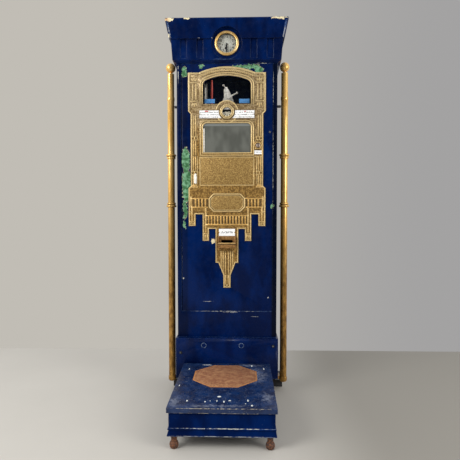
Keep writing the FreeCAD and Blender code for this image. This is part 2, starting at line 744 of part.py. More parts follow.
def crown():
    """Flared crown: cove, frieze with sunk fields, and a fascia with a round recess over the clock."""
    cove = flared(
        (S.crown_cove, S.crown_frieze),
        column_half + 3, column_half + S.frieze_out_low,
        column_front - 3, column_front - S.frieze_out_low, column_back,
    )
    frieze = flared(
        (S.crown_frieze, S.crown_fascia),
        column_half + S.frieze_out_low, column_half + S.frieze_out_high,
        column_front - S.frieze_out_low, column_front - S.frieze_out_high, column_back,
    )
    fascia = flared(
        (S.crown_fascia, S.crown_top),
        column_half + S.fascia_out_low, column_half + S.fascia_out_high,
        column_front - S.fascia_out_low, column_front - S.fascia_out_high, column_back,
    )
    collar = block(
        (-column_half - S.clearance, column_half + S.clearance),
        (column_front - S.clearance, column_back + 1),
        (S.crown_cove - 1, S.column_top),
    )
    inside = inner_half - 4
    hollow = block(
        (-inside, inside),
        (column_front - S.frieze_out_low + S.crown_wall, column_back - S.crown_wall),
        (S.column_top - 1, S.crown_top + 1),
    )
    sunk = []
    for x in field_places():
        sunk.append(block(
            (x - S.field_wide / 2, x + S.field_wide / 2),
            (column_front - S.frieze_out_high - 1, column_front - S.frieze_out_low + S.frieze_sunk - 4),
            (S.crown_frieze + 8, S.crown_fascia),
        ))
    arch = rod("y", S.arch_radius,
               (0, column_front - S.fascia_out_high - 1, S.clock_height),
               S.fascia_out_high - S.frieze_out_low + 1)
    clock_hole = rod("y", S.bezel_inner, (0, column_front - S.fascia_out_high, S.clock_height), S.fascia_out_high + 2)
    sub_part(cut(fuse(cove, frieze, fascia), collar, hollow, arch, clock_hole, *sunk), "crown")
    lid_half = column_half + S.fascia_out_high - 2
    lid = block((-lid_half, lid_half), (column_front - S.fascia_out_high + 2, column_back - 1),
                (S.crown_top, S.crown_top + S.lid_thick))
    sub_part(lid, "crown_lid")


def field_places():
    """Middles of the frieze's sunk fields: two at each side of the clock."""
    pitch = S.field_wide * 2.55
    first = S.arch_radius + S.field_wide * 1.8
    return [(first + pitch * number) * side for side in (-1, 1) for number in (0, 1)]


def clock():
    """Round clock: brass bezel, glass, dial, two hands on one arbor, and the movement's case behind."""
    y_face = column_front - S.frieze_out_low
    front = y_face - S.bezel_out
    ring = cone("y", S.bezel_radius - 7, S.bezel_radius, (0, front, S.clock_height), S.bezel_out)
    ring_hole = rod("y", S.bezel_inner - 2, (0, front - 1, S.clock_height), S.bezel_out + 2)
    glass_seat = rod("y", S.bezel_inner + 1, (0, front + 4, S.clock_height), S.bezel_out)
    sub_part(cut(ring, ring_hole, glass_seat), "clock_bezel")
    glass = rod("y", S.bezel_inner + 0.8, (0, front + 4, S.clock_height), S.glass_thick - 1)
    sub_part(glass, "clock_glass")
    dial_y = column_front - S.frieze_out_low + 7
    dial = rod("y", S.dial_radius, (0, dial_y, S.clock_height), 1.5)
    arbor_hole = rod("y", 2.5, (0, dial_y - 1, S.clock_height), 4)
    sub_part(cut(dial, arbor_hole), "clock_dial")
    case = rod("y", S.bezel_inner - 1, (0, dial_y + 1.5, S.clock_height), 46)
    case_hole = rod("y", 1.25 + 0.05, (0, dial_y, S.clock_height), 20)
    ears = block((-(S.bezel_inner + 14), S.bezel_inner + 14),
                 (column_front - S.frieze_out_low + S.crown_wall, column_front - S.frieze_out_low + S.crown_wall + 4),
                 (S.clock_height - 9, S.clock_height + 9))
    sub_part(cut(fuse(case, ears), case_hole), "clock_movement")
    arbor_front = dial_y - 8
    arbor = rod("y", 1.25, (0, arbor_front, S.clock_height), 14)
    minute = padded(hand_outline(S.dial_radius * 0.86, S.minute_half, S.minute_half * 2), (dial_y - 6.5, dial_y - 5.5))
    minute_hub = rod("y", 3.5, (0, dial_y - 6.5, S.clock_height), 1)
    sub_part(fuse(minute, minute_hub, arbor), "minute_hand")
    hour = padded(hand_outline(S.dial_radius * 0.6, S.hour_half, S.hour_half * 2.2, slant=15), (dial_y - 4, dial_y - 3))
    hour_tube = rod("y", 2.3, (0, dial_y - 4, S.clock_height), 4)
    hour_hub = rod("y", 4, (0, dial_y - 4, S.clock_height), 1)
    hour_bore = rod("y", 1.25 + 0.05, (0, dial_y - 5, S.clock_height), 8)
    sub_part(cut(fuse(hour, hour_hub, hour_tube), hour_bore), "hour_hand")


def hand_outline(long, half, spade, slant=0):
    """A clock hand that hangs down from the clock's centre: a slim blade with a spade near its tip."""
    points = ((0.0, -half), (0.62, -half), (0.74, -spade), (1.0, 0.0), (0.74, spade), (0.62, half), (0.0, half))
    turn_sine = sine(slant)
    turn_cosine = cosine(slant)
    outline = []
    for along, across in points:
        down = long * along
        x = -(down * turn_sine) + turn_cosine * across
        z = S.clock_height - (down * turn_cosine) - turn_sine * across
        outline.append((x, z))
    return outline


def arch_outline(half, foot, spring, top, corner):
    """A window outline: upright sides, round corners and a flat arch between them."""
    rise = top - spring
    # the flat arch's radius, so that it meets both corner arcs without a kink
    span = half - corner
    flat = (span * span + rise * rise - corner * corner) / ((rise - corner) * 2)
    centre_z = top - flat
    reach = flat - corner
    touch_x = span * flat / reach
    touch_z = centre_z + (spring - centre_z) * flat / reach
    return [
        (-half, foot),
        (half, foot),
        (half, spring, corner, span, spring),
        (touch_x, touch_z, flat, 0, centre_z),
        (-touch_x, touch_z, corner, -span, spring),
        (-half, spring),
    ]


def brass_outline():
    """The brass plate's stepped outline below its arch."""
    up = S.plate_upper_half
    mid = S.plate_middle_half
    low = S.plate_lower_half
    leg_in = low - S.outer_leg
    second_out = leg_in - S.outer_gap
    second_in = second_out - S.inner_leg
    right = [
        (up, S.plate_high),
        (up, S.upper_foot),
        (mid, S.upper_foot - S.upper_curve),
        (mid, S.lower_head),
        (low, S.lower_head - S.lower_slope),
        (low, S.outer_leg_foot),
        (leg_in, S.outer_leg_foot),
        (leg_in, S.outer_gap_top),
        (second_out, S.outer_gap_top),
        (second_out, S.inner_leg_foot),
        (second_in, S.inner_leg_foot),
        (second_in, S.inner_gap_top),
        (S.stem_half, S.inner_gap_top),
        (S.stem_half, S.stem_foot),
        (S.taper_half, S.stem_foot),
        (S.shaft_half, S.taper_foot),
        (S.shaft_half, S.shaft_foot),
    ]
    left = [(-x, z) for x, z in reversed(right)]
    return right + left


def brass_plate():
    """Cast brass plate on the door: stepped outline, arched window, port, mirror seat and raised mouldings."""
    y = (brass_front, column_front)
    arch_radius = (S.plate_arch_half * S.plate_arch_half + S.plate_arch * S.plate_arch) / (S.plate_arch * 2)
    arch_top = S.plate_high + S.plate_arch
    arch_disc = rod("y", arch_radius, (0, y[0], arch_top - arch_radius), S.brass_thick)
    arch_block = block((-S.plate_arch_half, S.plate_arch_half), y, (S.plate_high - 1, arch_top + 1))
    plate = fuse(padded(brass_outline(), y), common(arch_disc, arch_block))
    raised = (brass_front - S.relief, brass_front + 1)
    window = (S.window_half, S.window_sill, S.window_spring, S.window_crown, S.window_corner)
    around = (S.window_half + S.frame_wide, S.window_sill - 4, S.window_spring,
              S.window_crown + S.frame_wide, S.window_corner + S.frame_wide)
    window_frame = padded(arch_outline(*around), raised)
    boss = rod("y", S.port_boss, (0, raised[0], S.port_height), S.relief + 1)
    mirror_frame = block((-S.mirror_half - S.frame_wide, S.mirror_half + S.frame_wide), raised,
                         (S.mirror_foot - S.frame_wide, S.mirror_head + S.frame_wide - 4))
    cartouche = cut(
        padded(octagon(S.cartouche_half, S.cartouche_foot, S.cartouche_head, S.cartouche_cut), raised),
        padded(octagon(S.cartouche_half - S.cartouche_rim, S.cartouche_foot + S.cartouche_rim,
                       S.cartouche_head - S.cartouche_rim, S.cartouche_cut - S.cartouche_rim / 2),
               (raised[0] - 1, brass_front)),
    )
    through = (raised[0] - 1, column_front + 1)
    boss_keep = rod("y", S.port_boss, (0, through[0], S.port_height), through[1] - through[0])
    window_hole = cut(padded(arch_outline(*window), through), boss_keep)
    port_hole = rod("y", S.port_hole, (0, through[0], S.port_height), through[1] - through[0])
    mirror_hole = padded(mirror_outline(S.mirror_half, S.mirror_foot, S.mirror_head), through)
    slot = slot_hole(through)
    outlet = outlet_hole(through)
    screws = [rod("y", SCREW + S.pin_fit, (x, through[0], z), through[1] - through[0])
              for x, z in plate_screw_places()]
    sub_part(
        cut(fuse(plate, window_frame, boss, mirror_frame, cartouche),
            window_hole, port_hole, mirror_hole, slot, outlet, *screws),
        "brass_front_plate",
    )
    heads = []
    for x, z in plate_screw_places():
        head = cone("y", SCREW * 1.2, SCREW * 2, (x, brass_front - 1.5, z), 1.5)
        shank = rod("y", SCREW, (x, brass_front - 1, z), S.brass_thick + S.front_wall - 1)
        heads.append(fuse(head, shank))
    sub_part(group(*heads), "plate_screws")


def plate_screw_places():
    """Screws near the corners of the brass plate and at its stem."""
    upper = S.plate_upper_half - 8
    lower = S.plate_lower_half - 8
    places = [(upper * side, S.plate_high - 9) for side in (-1, 1)]
    places += [(lower * side, S.outer_gap_top + 12) for side in (-1, 1)]
    places.append((as_size(0), S.shaft_foot + 12))
    return places


def octagon(half, foot, head, corner):
    """An upright octagon with small corners."""
    return [
        (-half + corner, foot), (half - corner, foot), (half, foot + corner), (half, head - corner),
        (half - corner, head), (-half + corner, head), (-half, head - corner), (-half, foot + corner),
    ]


def mirror_outline(half, foot, head):
    """The mirror: square below, with round upper corners."""
    corner = S.mirror_corner
    return [
        (-half, foot),
        (half, foot),
        (half, head - corner, corner, half - corner, head - corner),
        (half - corner, head),
        (-half + corner, head, corner, -half + corner, head - corner),
        (-half, head - corner),
    ]


def slot_hole(y):
    """The coin's way through."""
    return block((S.slot_across - S.coin_wide / 2, S.slot_across + S.coin_wide / 2), y,
                 (S.slot_height - S.coin_high / 2, S.slot_height + S.coin_high / 2))


def outlet_hole(y):
    """The ticket's way through."""
    foot = S.cup_foot + S.cup_wall + S.outlet_rise
    return block((-S.outlet_half, S.outlet_half), y, (foot, foot + S.outlet_high))


def door():
    """Sheet door with a round bead along its hinge side, and the openings behind the brass plate's own."""
    y = (column_front, door_back)
    z = (S.door_bottom + S.door_gap, S.door_top - S.door_gap)
    leaf = block((pivot_x, opening_half - S.door_gap), y, z)
    bead = rod("z", S.hinge_bead, (pivot_x, pivot_y, z[0]), z[1] - z[0])
    through = (column_front - 1, pivot_y + S.hinge_bead + 1)
    window = arch_outline(S.window_half, S.window_sill, S.window_spring, S.window_crown, S.window_corner)
    boss_keep = rod("y", S.port_boss, (0, through[0], S.port_height), through[1] - through[0])
    holes = [
        cut(padded(window, through), boss_keep),
        rod("y", S.port_hole, (0, through[0], S.port_height), through[1] - through[0]),
        slot_hole(through),
        outlet_hole(through),
        rod("y", S.lock_radius + S.pin_fit, (S.lock_across, through[0], S.lock_height), through[1] - through[0]),
        rod("z", S.pin_radius + S.pin_fit, (pivot_x, pivot_y, z[0] - 1), S.pin_long / 2 + 3),
        rod("z", S.pin_radius + S.pin_fit, (pivot_x, pivot_y, z[1] - S.pin_long / 2 - 2), S.pin_long / 2 + 3),
    ]
    for x, height in plate_screw_places():
        holes.append(rod("y", SCREW + S.pin_fit, (x, through[0], height), through[1] - through[0]))
    sub_part(cut(fuse(leaf, bead), *holes), "service_door")


def door_fittings():
    """What the door carries: glass, mirror, port ring, labels, coin slot, funnel, ticket cup and lock."""
    lap = S.glass_lap
    behind = (door_back, door_back + S.glass_thick)
    window = block((-S.window_half - lap, S.window_half + lap), behind,
                   (S.port_height + S.port_ring + 2, S.window_crown + lap))
    sub_part(window, "window_glass")
    port = rod("y", S.port_hole + lap, (0, door_back, S.port_height), S.glass_thick)
    sub_part(port, "port_glass")
    mirror = padded(mirror_outline(S.mirror_half - 0.1, S.mirror_foot + 0.1, S.mirror_head - 0.1),
                    (column_front - S.glass_thick, column_front))
    sub_part(mirror, "mirror")
    ring_front = brass_front - S.relief - S.port_ring_out
    ring = padded(port_ring_outline(), (ring_front, brass_front - S.relief))
    ring_hole = rod("y", S.port_hole, (0, ring_front - 1, S.port_height), S.port_ring_out + 2)
    sub_part(cut(ring, ring_hole), "port_ring")
    labels = []
    low_front = brass_front - S.relief - S.label_thick
    for x in ((-S.label_reach, as_size(0)), (as_size(0), S.label_reach)):
        label = block(x, (low_front, brass_front), (S.label_foot, S.label_foot + S.label_high))
        boss = rod("y", S.port_boss, (0, brass_front - S.relief, S.port_height), S.relief + 1)
        nut = rod("y", S.port_ring + S.label_gap, (0, low_front - 1, S.port_height), S.relief + S.label_thick + 2)
        labels.append(cut(label, boss, nut))
    coin_label = block((S.slot_across - S.slot_size / 2, S.slot_across + S.slot_size / 2),
                       (brass_front - S.label_thick, brass_front), (S.slot_height - 45, S.slot_height - 25))
    ticket_label = block((-S.cup_half + 4, S.cup_half - 4), (brass_front - S.label_thick, brass_front),
                         (S.cup_head + 1, S.cup_head + 38))
    sub_part(group(*labels, coin_label, ticket_label), "enamel_labels")
    escutcheon = block((S.slot_across - S.slot_size / 2, S.slot_across + S.slot_size / 2),
                       (brass_front - S.relief, brass_front),
                       (S.slot_height - S.slot_size / 2, S.slot_height + S.slot_size / 2))
    boss = rod("y", S.slot_boss, (S.slot_across, low_front - 2, S.slot_height), S.relief + 2)
    sub_part(cut(fuse(escutcheon, boss), slot_hole((brass_front - S.relief - 9, brass_front + 1))),
             "coin_slot_escutcheon")
    funnel_y = (door_back, column_front + S.rail_back - 45)
    funnel = block((S.slot_across - 12, S.slot_across + 12), funnel_y,
                   (S.slot_height - S.coin_high / 2 - 8, S.slot_height + S.coin_high / 2 + 4))
    inside = block((S.slot_across - 12 + S.sheet, S.slot_across + 12 - S.sheet),
                   (door_back - 1, funnel_y[1] + 1),
                   (S.slot_height - S.coin_high / 2 - 8 + S.sheet, S.slot_height + S.coin_high / 2 + 4 - S.sheet))
    sub_part(cut(funnel, inside), "coin_funnel")
    cup()
    lock()


def port_ring_outline():
    """Eight-sided ring nut round the port."""
    outline = []
    for number in range(8):
        angle = 22.5 + 45 * number
        outline.append((S.port_ring * cosine(angle), S.port_height + S.port_ring * sine(angle)))
    return outline


def cup():
    """Open brass cup that catches the ticket, and the slanted outlet behind it."""
    y = (brass_front - S.cup_out, brass_front)
    body = block((-S.cup_half, S.cup_half), y, (S.cup_foot, S.cup_head))
    inside = block((-S.cup_half + S.cup_wall, S.cup_half - S.cup_wall),
                   (y[0] + S.cup_wall, y[1] - S.cup_wall),
                   (S.cup_foot + S.cup_wall, S.cup_head + 1))
    low_front = block((-S.cup_half - 1, S.cup_half + 1), (y[0] - 1, y[0] + S.cup_out / 2),
                      (S.cup_foot + S.cup_front, S.cup_head + 1))
    outlet = outlet_hole((y[1] - S.cup_wall - 1, brass_front + 1))
    sub_part(cut(body, inside, low_front, outlet), "ticket_cup")


def lock():
    """Square-key lock: a spindle through the door with a cam behind, which turns behind the casing's strip."""
    spindle = rod("y", S.lock_radius, (S.lock_across, column_front - 3, S.lock_height), S.front_wall + 11)
    cam = block((S.lock_across - 6, S.lock_across + 6), (door_back + 1, door_back + 5),
                (S.lock_height - 6, S.lock_height + S.cam_long))
    key = block((S.lock_across - 2, S.lock_across + 2), (column_front - 4, column_front + 4),
                (S.lock_height - 2, S.lock_height + 2))
    sub_part(cut(fuse(spindle, cam), key), "door_lock")


def rail_outline():
    """Half outline of a rail tube, which is thinner above its band."""
    tube = S.rail_radius
    top = S.rail_band + S.rail_band_high
    return [
        (0, S.rail_foot), (tube - S.rail_bevel, S.rail_foot), (tube, S.rail_foot + S.rail_bevel), (tube, top),
        (S.rail_upper_radius, top + 1), (S.rail_upper_radius, S.rail_head), (0, S.rail_head),
    ]


def sleeve_outline(low, high, out):
    """Half outline of a bevelled sleeve on a rail tube."""
    tube = S.rail_radius
    return [(tube, low), (tube + out, low + S.ring_bevel), (tube + out, high - S.ring_bevel), (tube, high)]


def double_ring_outline(middle, lower, upper):
    """Half outline of two turned rings in one piece, the first under the middle and the second over it."""
    tube = S.rail_radius
    thick = S.ring_thick
    return [
        (tube, middle - thick), (lower, middle - thick + S.ring_bevel), (lower, middle - S.ring_bevel),
        (tube + 1, middle), (upper, middle + S.ring_bevel), (upper, middle + thick - S.ring_bevel),
        (tube, middle + thick),
    ]


def rail_outlines():
    """Half outlines of a rail's tube and of what is soldered round it: foot cap, two double rings and band."""
    cap = S.rail_foot + S.cap_rise
    return [
        rail_outline(),
        sleeve_outline(cap, cap + S.cap_high, S.cap_out),
        double_ring_outline(S.ring_low, S.ring_radius, S.ring_small),
        double_ring_outline(S.ring_high, S.ring_small, S.ring_radius),
        sleeve_outline(S.rail_band, S.rail_band + S.rail_band_high, S.band_out),
    ]


def rails():
    """Two upright brass hand rails with ball finials, black stand-offs above and brass stubs below."""
    y = column_front + S.rail_back
    for label, side in (("left", -1), ("right", 1)):
        x = S.rail_across * side
        sub_part(group(*(turned(outline, x, y) for outline in rail_outlines())), label + "_rail")
        finial = fuse(
            ball(S.ball_radius, (x, y, S.ball_height)),
            rod("z", S.ball_neck, (x, y, S.rail_head), S.ball_rise),
        )
        sub_part(finial, label + "_finial")
    standoffs = []
    stubs = []
    for side in (-1, 1):
        reach = S.rail_across - S.rail_upper_radius - column_half + S.side_wall + 3
        start = column_half - S.side_wall - 3 if side > 0 else -(column_half - S.side_wall - 3) - reach
        tall = rod("x", S.standoff_radius - S.pin_fit, (start, y, S.standoff_height), reach)
        flange_x = column_half if side > 0 else -column_half - 3
        flange = rod("x", S.standoff_radius + 5, (flange_x, y, S.standoff_height), 3)
        standoffs.append(cut(fuse(tall, flange), rail_bite(side, y)))
        reach = S.rail_across - S.rail_radius - S.bar_riser
        start = S.bar_riser if side > 0 else -S.bar_riser - reach
        stub_y = plinth_front + S.front_bar_back + S.bar_deep / 2
        stub = block((start, start + reach), (y - S.stub_radius, y + S.stub_radius),
                     (S.stub_height - S.stub_radius, S.stub_height + S.stub_radius))
        foot = block((start, start + reach), (y - S.stub_radius, stub_y),
                     (S.stub_height - S.stub_radius, S.stub_height + S.stub_radius))
        stubs.append(cut(fuse(stub, foot), rail_bite(side, y), bar_bite()))
    sub_part(group(*standoffs), "rail_standoffs")
    sub_part(group(*stubs), "rail_stubs")


def rail_bite(side, y):
    """The rail's own round, taken out of what seats against it."""
    return rod("z", S.rail_radius + 2.6, (S.rail_across * side, y, 0), S.crown_top)


def bar_bite():
    """The front foot bar's riser, taken out of what seats against it."""
    front = plinth_front + S.front_bar_back
    return block((-S.bar_riser, S.bar_riser), (front, front + S.bar_deep), (0, S.plinth_bottom))


def platform():
    """Weighing plate with its rim and mat, over a base box on four turned feet."""
    rim_y = (platform_front, platform_back)
    top = S.plate_top
    slab = block((-plate_half, plate_half), rim_y, (top - S.plate_rim, top))
    under = block(
        (-plate_half + S.rim_thick, plate_half - S.rim_thick),
        (platform_front + S.rim_thick, platform_back - S.rim_thick),
        (top - S.plate_rim - 1, top - S.plate_thick),
    )
    seat = layered(mat_outline(0), (top - S.mat_sink, top + 1))
    posts = [
        rod("z", S.post_radius, (S.post_across * side, load_line, S.lever_foot + S.lever_thick + S.clearance),
            top - S.plate_thick + 1 - (S.lever_foot + S.lever_thick + S.clearance))
        for side in (-1, 1)
    ]
    sub_part(fuse(cut(slab, under, seat), *posts), "weighing_plate")
    sub_part(layered(mat_outline(0.4), (top - S.mat_sink, top + S.mat_proud)), "platform_mat")
    base_x = plate_half - S.base_inset
    base_y = (platform_front + S.base_inset, platform_back)
    base_top = top - S.plate_thick - S.plate_travel - 2
    box = block((-base_x, base_x), base_y, (S.base_bottom, base_top))
    flange = flared(
        (S.base_bottom, S.base_bottom + S.flange_high),
        base_x + S.flange_out, base_x, base_y[0] - S.flange_out, base_y[0], base_y[1],
    )
    shoulder = block((-plate_half - 1, plate_half + 1), (base_y[1] - S.base_inset, base_y[1] + 1),
                     (top - S.plate_rim - S.plate_travel - 2, top))
    hollow = block((-base_x + S.base_wall, base_x - S.base_wall),
                   (base_y[0] + S.base_wall, base_y[1] - S.base_wall - S.base_inset),
                   (S.base_bottom - 1, base_top + 1))
    lever_way = block((-rod_x - S.lever_thick, rod_x + S.lever_thick),
                      (base_y[1] - S.base_wall - S.base_inset - 1, base_y[1] + 1),
                      (S.base_bottom - 1, S.lever_foot + S.lever_thick + 6))
    lugs = [
        block((x - 24, x + 24), (y - 24, y + 24), (S.base_bottom, S.base_bottom + 8))
        for x, y in foot_places()
    ]
    rests = [
        block((S.post_across * side - 40, S.post_across * side + 60) if side > 0
              else (S.post_across * side - 60, S.post_across * side + 40),
              (fulcrum_line - 12, fulcrum_line + 12), (S.base_bottom, S.lever_foot - 2))
        for side in (-1, 1)
    ]
    ties = block((-base_x + 1, base_x - 1), (fulcrum_line - 12, fulcrum_line + 12),
                 (S.base_bottom, S.base_bottom + 4))
    inner_lugs = common(fuse(*lugs), block((-base_x, base_x), (base_y[0], base_y[1]), (0, base_top)))
    sub_part(cut(fuse(cut(fuse(box, flange), shoulder, hollow), inner_lugs, ties, *rests), lever_way),
             "platform_base")
    for number, (x, y) in enumerate(foot_places(), start=1):
        sub_part(turned(foot_outline(), x, y), "platform_foot_" + str(number))


def mat_outline(gap):
    """The octagonal mat, flat sides to the front and back."""
    half = S.mat_across / 2 - gap
    small = half * (math.sqrt(2) - 1)
    y = platform_back - S.mat_centre
    return [
        (small, y - half), (half, y - small), (half, y + small), (small, y + half),
        (-small, y + half), (-half, y + small), (-half, y - small), (-small, y - half),
    ]


def foot_places():
    """Centres of the four platform feet."""
    x = plate_half - S.base_inset - S.foot_inset + 8
    front = platform_front + S.base_inset + S.foot_inset - 9
    back = platform_back - S.base_inset - S.foot_inset - 20
    return [(-x, front), (x, front), (-x, back), (x, back)]


def foot_outline():
    """Half outline of a turned bun foot with its neck and plate."""
    bun = S.foot_radius
    neck = S.foot_neck
    top = S.base_bottom
    return [
        (0, 0), (bun - 5, 0), (bun - 1.5, 5), (bun, 12), (bun, 20), (bun - 3, 28), (neck, 33),
        (neck, top - 14), (neck + 4, top - 9), (neck + 4, top), (0, top),
    ]


fulcrum_line = platform_back - S.lever_load - S.load_inset
load_line = fulcrum_line + S.lever_load
rod_x = S.works_half - 35
rod_y = column_front + S.rod_back
lever_reach = rod_y - fulcrum_line


def base_lever():
    """Welded base lever: a bar that runs back under the column, with a fulcrum bar and a load bar across it."""
    thick = S.lever_thick
    z = (S.lever_foot, S.lever_foot + thick)
    across = S.post_across + S.lever_overhang
    middle = S.lever_foot + thick / 2
    reach = S.pin_reach
    long_bar = block((-rod_x - thick / 2, -rod_x + thick / 2), (fulcrum_line, rod_y + 10), z)
    load_bar = block((-across, across), (load_line - thick / 2, load_line + thick / 2), z)
    fulcrum_bar = block((-across, across), (fulcrum_line - thick / 2, fulcrum_line + thick / 2), z)
    second = block((S.post_across - thick / 2, S.post_across + thick / 2), (fulcrum_line, load_line), z)
    eye = rod("z", S.rod_radius + 2, (-rod_x, rod_y, S.lever_foot - 1), thick + 2)
    pins = [
        rod("x", S.lever_pin, (-across - reach if side < 0 else across - 1, fulcrum_line, middle), reach + 1)
        for side in (-1, 1)
    ]
    sub_part(cut(fuse(long_bar, load_bar, fulcrum_bar, second, *pins), eye), "base_lever")
    blocks = []
    for side in (-1, 1):
        start = -across - reach - 2 if side < 0 else across + 0.5
        seat = block((start, start + reach + 1.5), (fulcrum_line - 10, fulcrum_line + 10),
                     (S.lever_foot - 2, S.lever_foot + thick + 4))
        bore = rod("x", S.lever_pin + S.pin_fit, (start - 1, fulcrum_line, middle), reach + 4)
        blocks.append(cut(seat, bore))
    sub_part(group(*blocks), "fulcrum_blocks")


def draw_rod():
    """Round draw rod from the base lever's eye up to a slotted head at the pendulum's short arm."""
    foot = S.lever_foot - 6
    head_z = pendulum_z
    bar = rod("z", S.rod_radius, (-rod_x, rod_y, foot), head_z - foot - 8)
    nut = rod("z", S.rod_radius + 5, (-rod_x, rod_y, foot), 5.7)
    head = block((-rod_x - 9, -rod_x + 9), (rod_y - 2, rod_y + 2), (head_z - 10, head_z + 8))
    play = S.arm_pin + 0.3
    slot = block((-rod_x - 5, -rod_x + 5), (rod_y - 3, rod_y + 3), (head_z - play, head_z + play))
    sub_part(cut(fuse(bar, nut, head), slot), "draw_rod")


centre_distance = S.pinion_radius + S.sector_radius
pendulum_x = -(centre_distance * sine(S.pendulum_angle))
pendulum_z = S.wheel_height - centre_distance * cosine(S.pendulum_angle)
gear_y = column_front + S.gear_back


def tooth(core, start_angle, angle, centre, radius, count):
    """A toothed rim: a core, one tooth at the start angle, and its copies round the centre."""
    body = doc.addObject("PartDesign::Body", next_name("gear"))
    pad = body.newObject("PartDesign::Pad", next_name("pad"))
    pad.Profile = sketch(body, "XZ_Plane", core)
    bind(pad, Length=S.gear_thick)
    low = radius - S.tooth_high - 1
    high = radius + S.tooth_high
    outward = (sine(start_angle), cosine(start_angle))
    side = (cosine(start_angle), -sine(start_angle))
    foot_half = S.tooth_wide * 0.62
    tip_half = S.tooth_wide * 0.36
    corners = []
    for reach, half in ((low, -foot_half), (low, foot_half), (high, tip_half), (high, -tip_half)):
        corners.append((outward[0] * reach + side[0] * half, outward[1] * reach + side[1] * half))
    first = body.newObject("PartDesign::Pad", next_name("pad"))
    first.Profile = sketch(body, "XZ_Plane", corners)
    bind(first, Length=S.gear_thick)
    doc.recompute()
    pattern = body.newObject("PartDesign::PolarPattern", next_name("teeth"))
    pattern.Originals = [first]
    pattern.Axis = ([item for item in body.Origin.OriginFeatures if item.Role == "Y_Axis"][0], [""])
    pattern.Angle = angle
    pattern.Occurrences = count
    body.Tip = pattern
    return place(body, centre[0], gear_y + S.gear_thick, centre[1])


PINION_TEETH = 16


def number_wheel():
    """Thin disc that carries the weight numbers, with its shaft and sixteen-tooth pinion."""
    disc_y = column_front + S.wheel_back
    disc = rod("y", S.wheel_radius, (0, disc_y, S.wheel_height), S.wheel_thick)
    hub = rod("y", S.pinion_radius, (0, disc_y, S.wheel_height), gear_y - disc_y + 1)
    shaft = rod("y", S.shaft_radius, (0, disc_y - 6, S.wheel_height),
                S.works_back + S.works_thick + 4 - S.wheel_back + 6)
    core = S.pinion_radius - S.tooth_high
    circle = [(core, 0, core, 0, 0), (0, -core, core, 0, 0), (-core, 0, core, 0, 0), (0, core, core, 0, 0)]
    half_pitch = 180 / PINION_TEETH
    teeth = tooth(circle, S.pendulum_angle + 180 + half_pitch, 360, (as_size(0), S.wheel_height),
                  S.pinion_radius, PINION_TEETH)
    slim_hub = cut(hub, rod("y", S.pinion_radius + 1, (0, gear_y - 6, S.wheel_height), 10))
    sub_part(fuse(disc, slim_hub, shaft, teeth), "number_wheel")


def pendulum():
    """Pendulum: toothed sector, short arm with its pin, rod and bob, on one hub."""
    x, z = pendulum_x, pendulum_z
    centre = (x, gear_y, z)
    rim = S.sector_radius - S.tooth_high - S.gear_play
    inner = rim - S.sector_rim
    pitch = as_size(360) * S.pinion_radius / S.sector_radius / PINION_TEETH
    start = S.pendulum_angle - pitch
    last = pitch * (SECTOR_TEETH - 1) + start
    low, high = start - 3, last + 3
    ring = [
        (sine(high) * inner, cosine(high) * inner, inner, 0, 0),
        (sine(low) * inner, cosine(low) * inner),
        (sine(low) * rim, cosine(low) * rim, rim, 0, 0),
        (sine(high) * rim, cosine(high) * rim),
    ]
    span = (pitch * (SECTOR_TEETH - 1)).value
    teeth = tooth(ring, start, span, (x, z), S.sector_radius, SECTOR_TEETH)
    spokes = []
    for angle in (low + 1.6, high - 1.6):
        spokes.append(bar_from(centre, angle, inner + 3, 3))
    hub = rod("y", S.hub_radius, centre, S.gear_thick)
    arm = block((x - S.arm_long, x), (gear_y, gear_y + S.gear_thick), (z - S.arm_half, z + S.arm_half))
    pin = rod("y", S.arm_pin, (x - S.arm_long, gear_y, z), S.rod_back - S.gear_back + 5)
    eye = rod("y", S.arm_eye, (x - S.arm_long, gear_y, z), S.gear_thick)
    hang = as_size(180) - S.bob_angle
    bob_x = x + S.bob_long * sine(hang)
    bob_z = z + S.bob_long * cosine(hang)
    bob = rod("y", S.bob_radius, (bob_x, gear_y - 8, bob_z), S.bob_thick)
    rod_piece = bar_from(centre, hang, S.bob_long - S.bob_radius + 3, 3.5)
    bore = rod("y", S.stud_radius + S.pin_fit, (x, gear_y - 1, z), S.gear_thick + 2)
    sub_part(cut(fuse(teeth, *spokes, hub, arm, pin, eye, bob, rod_piece), bore), "pendulum")
    stud = rod("y", S.stud_radius, (x, gear_y - 5, z), S.works_back + S.works_thick - S.gear_back + 5)
    collar = rod("y", S.stud_collar, (x, gear_y + S.gear_thick + 0.5, z), S.works_back - S.gear_back - S.gear_thick - 0.5)
    sub_part(fuse(stud, collar), "pendulum_stud")


SECTOR_TEETH = 11


def bar_from(centre, angle, long, half):
    """A flat bar from a centre, along an angle counted from upright towards +X."""
    out_x, out_z = sine(angle), cosine(angle)
    corners = []
    for reach, side in ((6, -half), (long, -half), (long, half), (6, half)):
        reach = as_size(reach)
        corners.append((centre[0] + out_x * reach + out_z * side, centre[2] + out_z * reach - out_x * side))
    return padded(corners, (gear_y + 1, gear_y + S.gear_thick - 1))


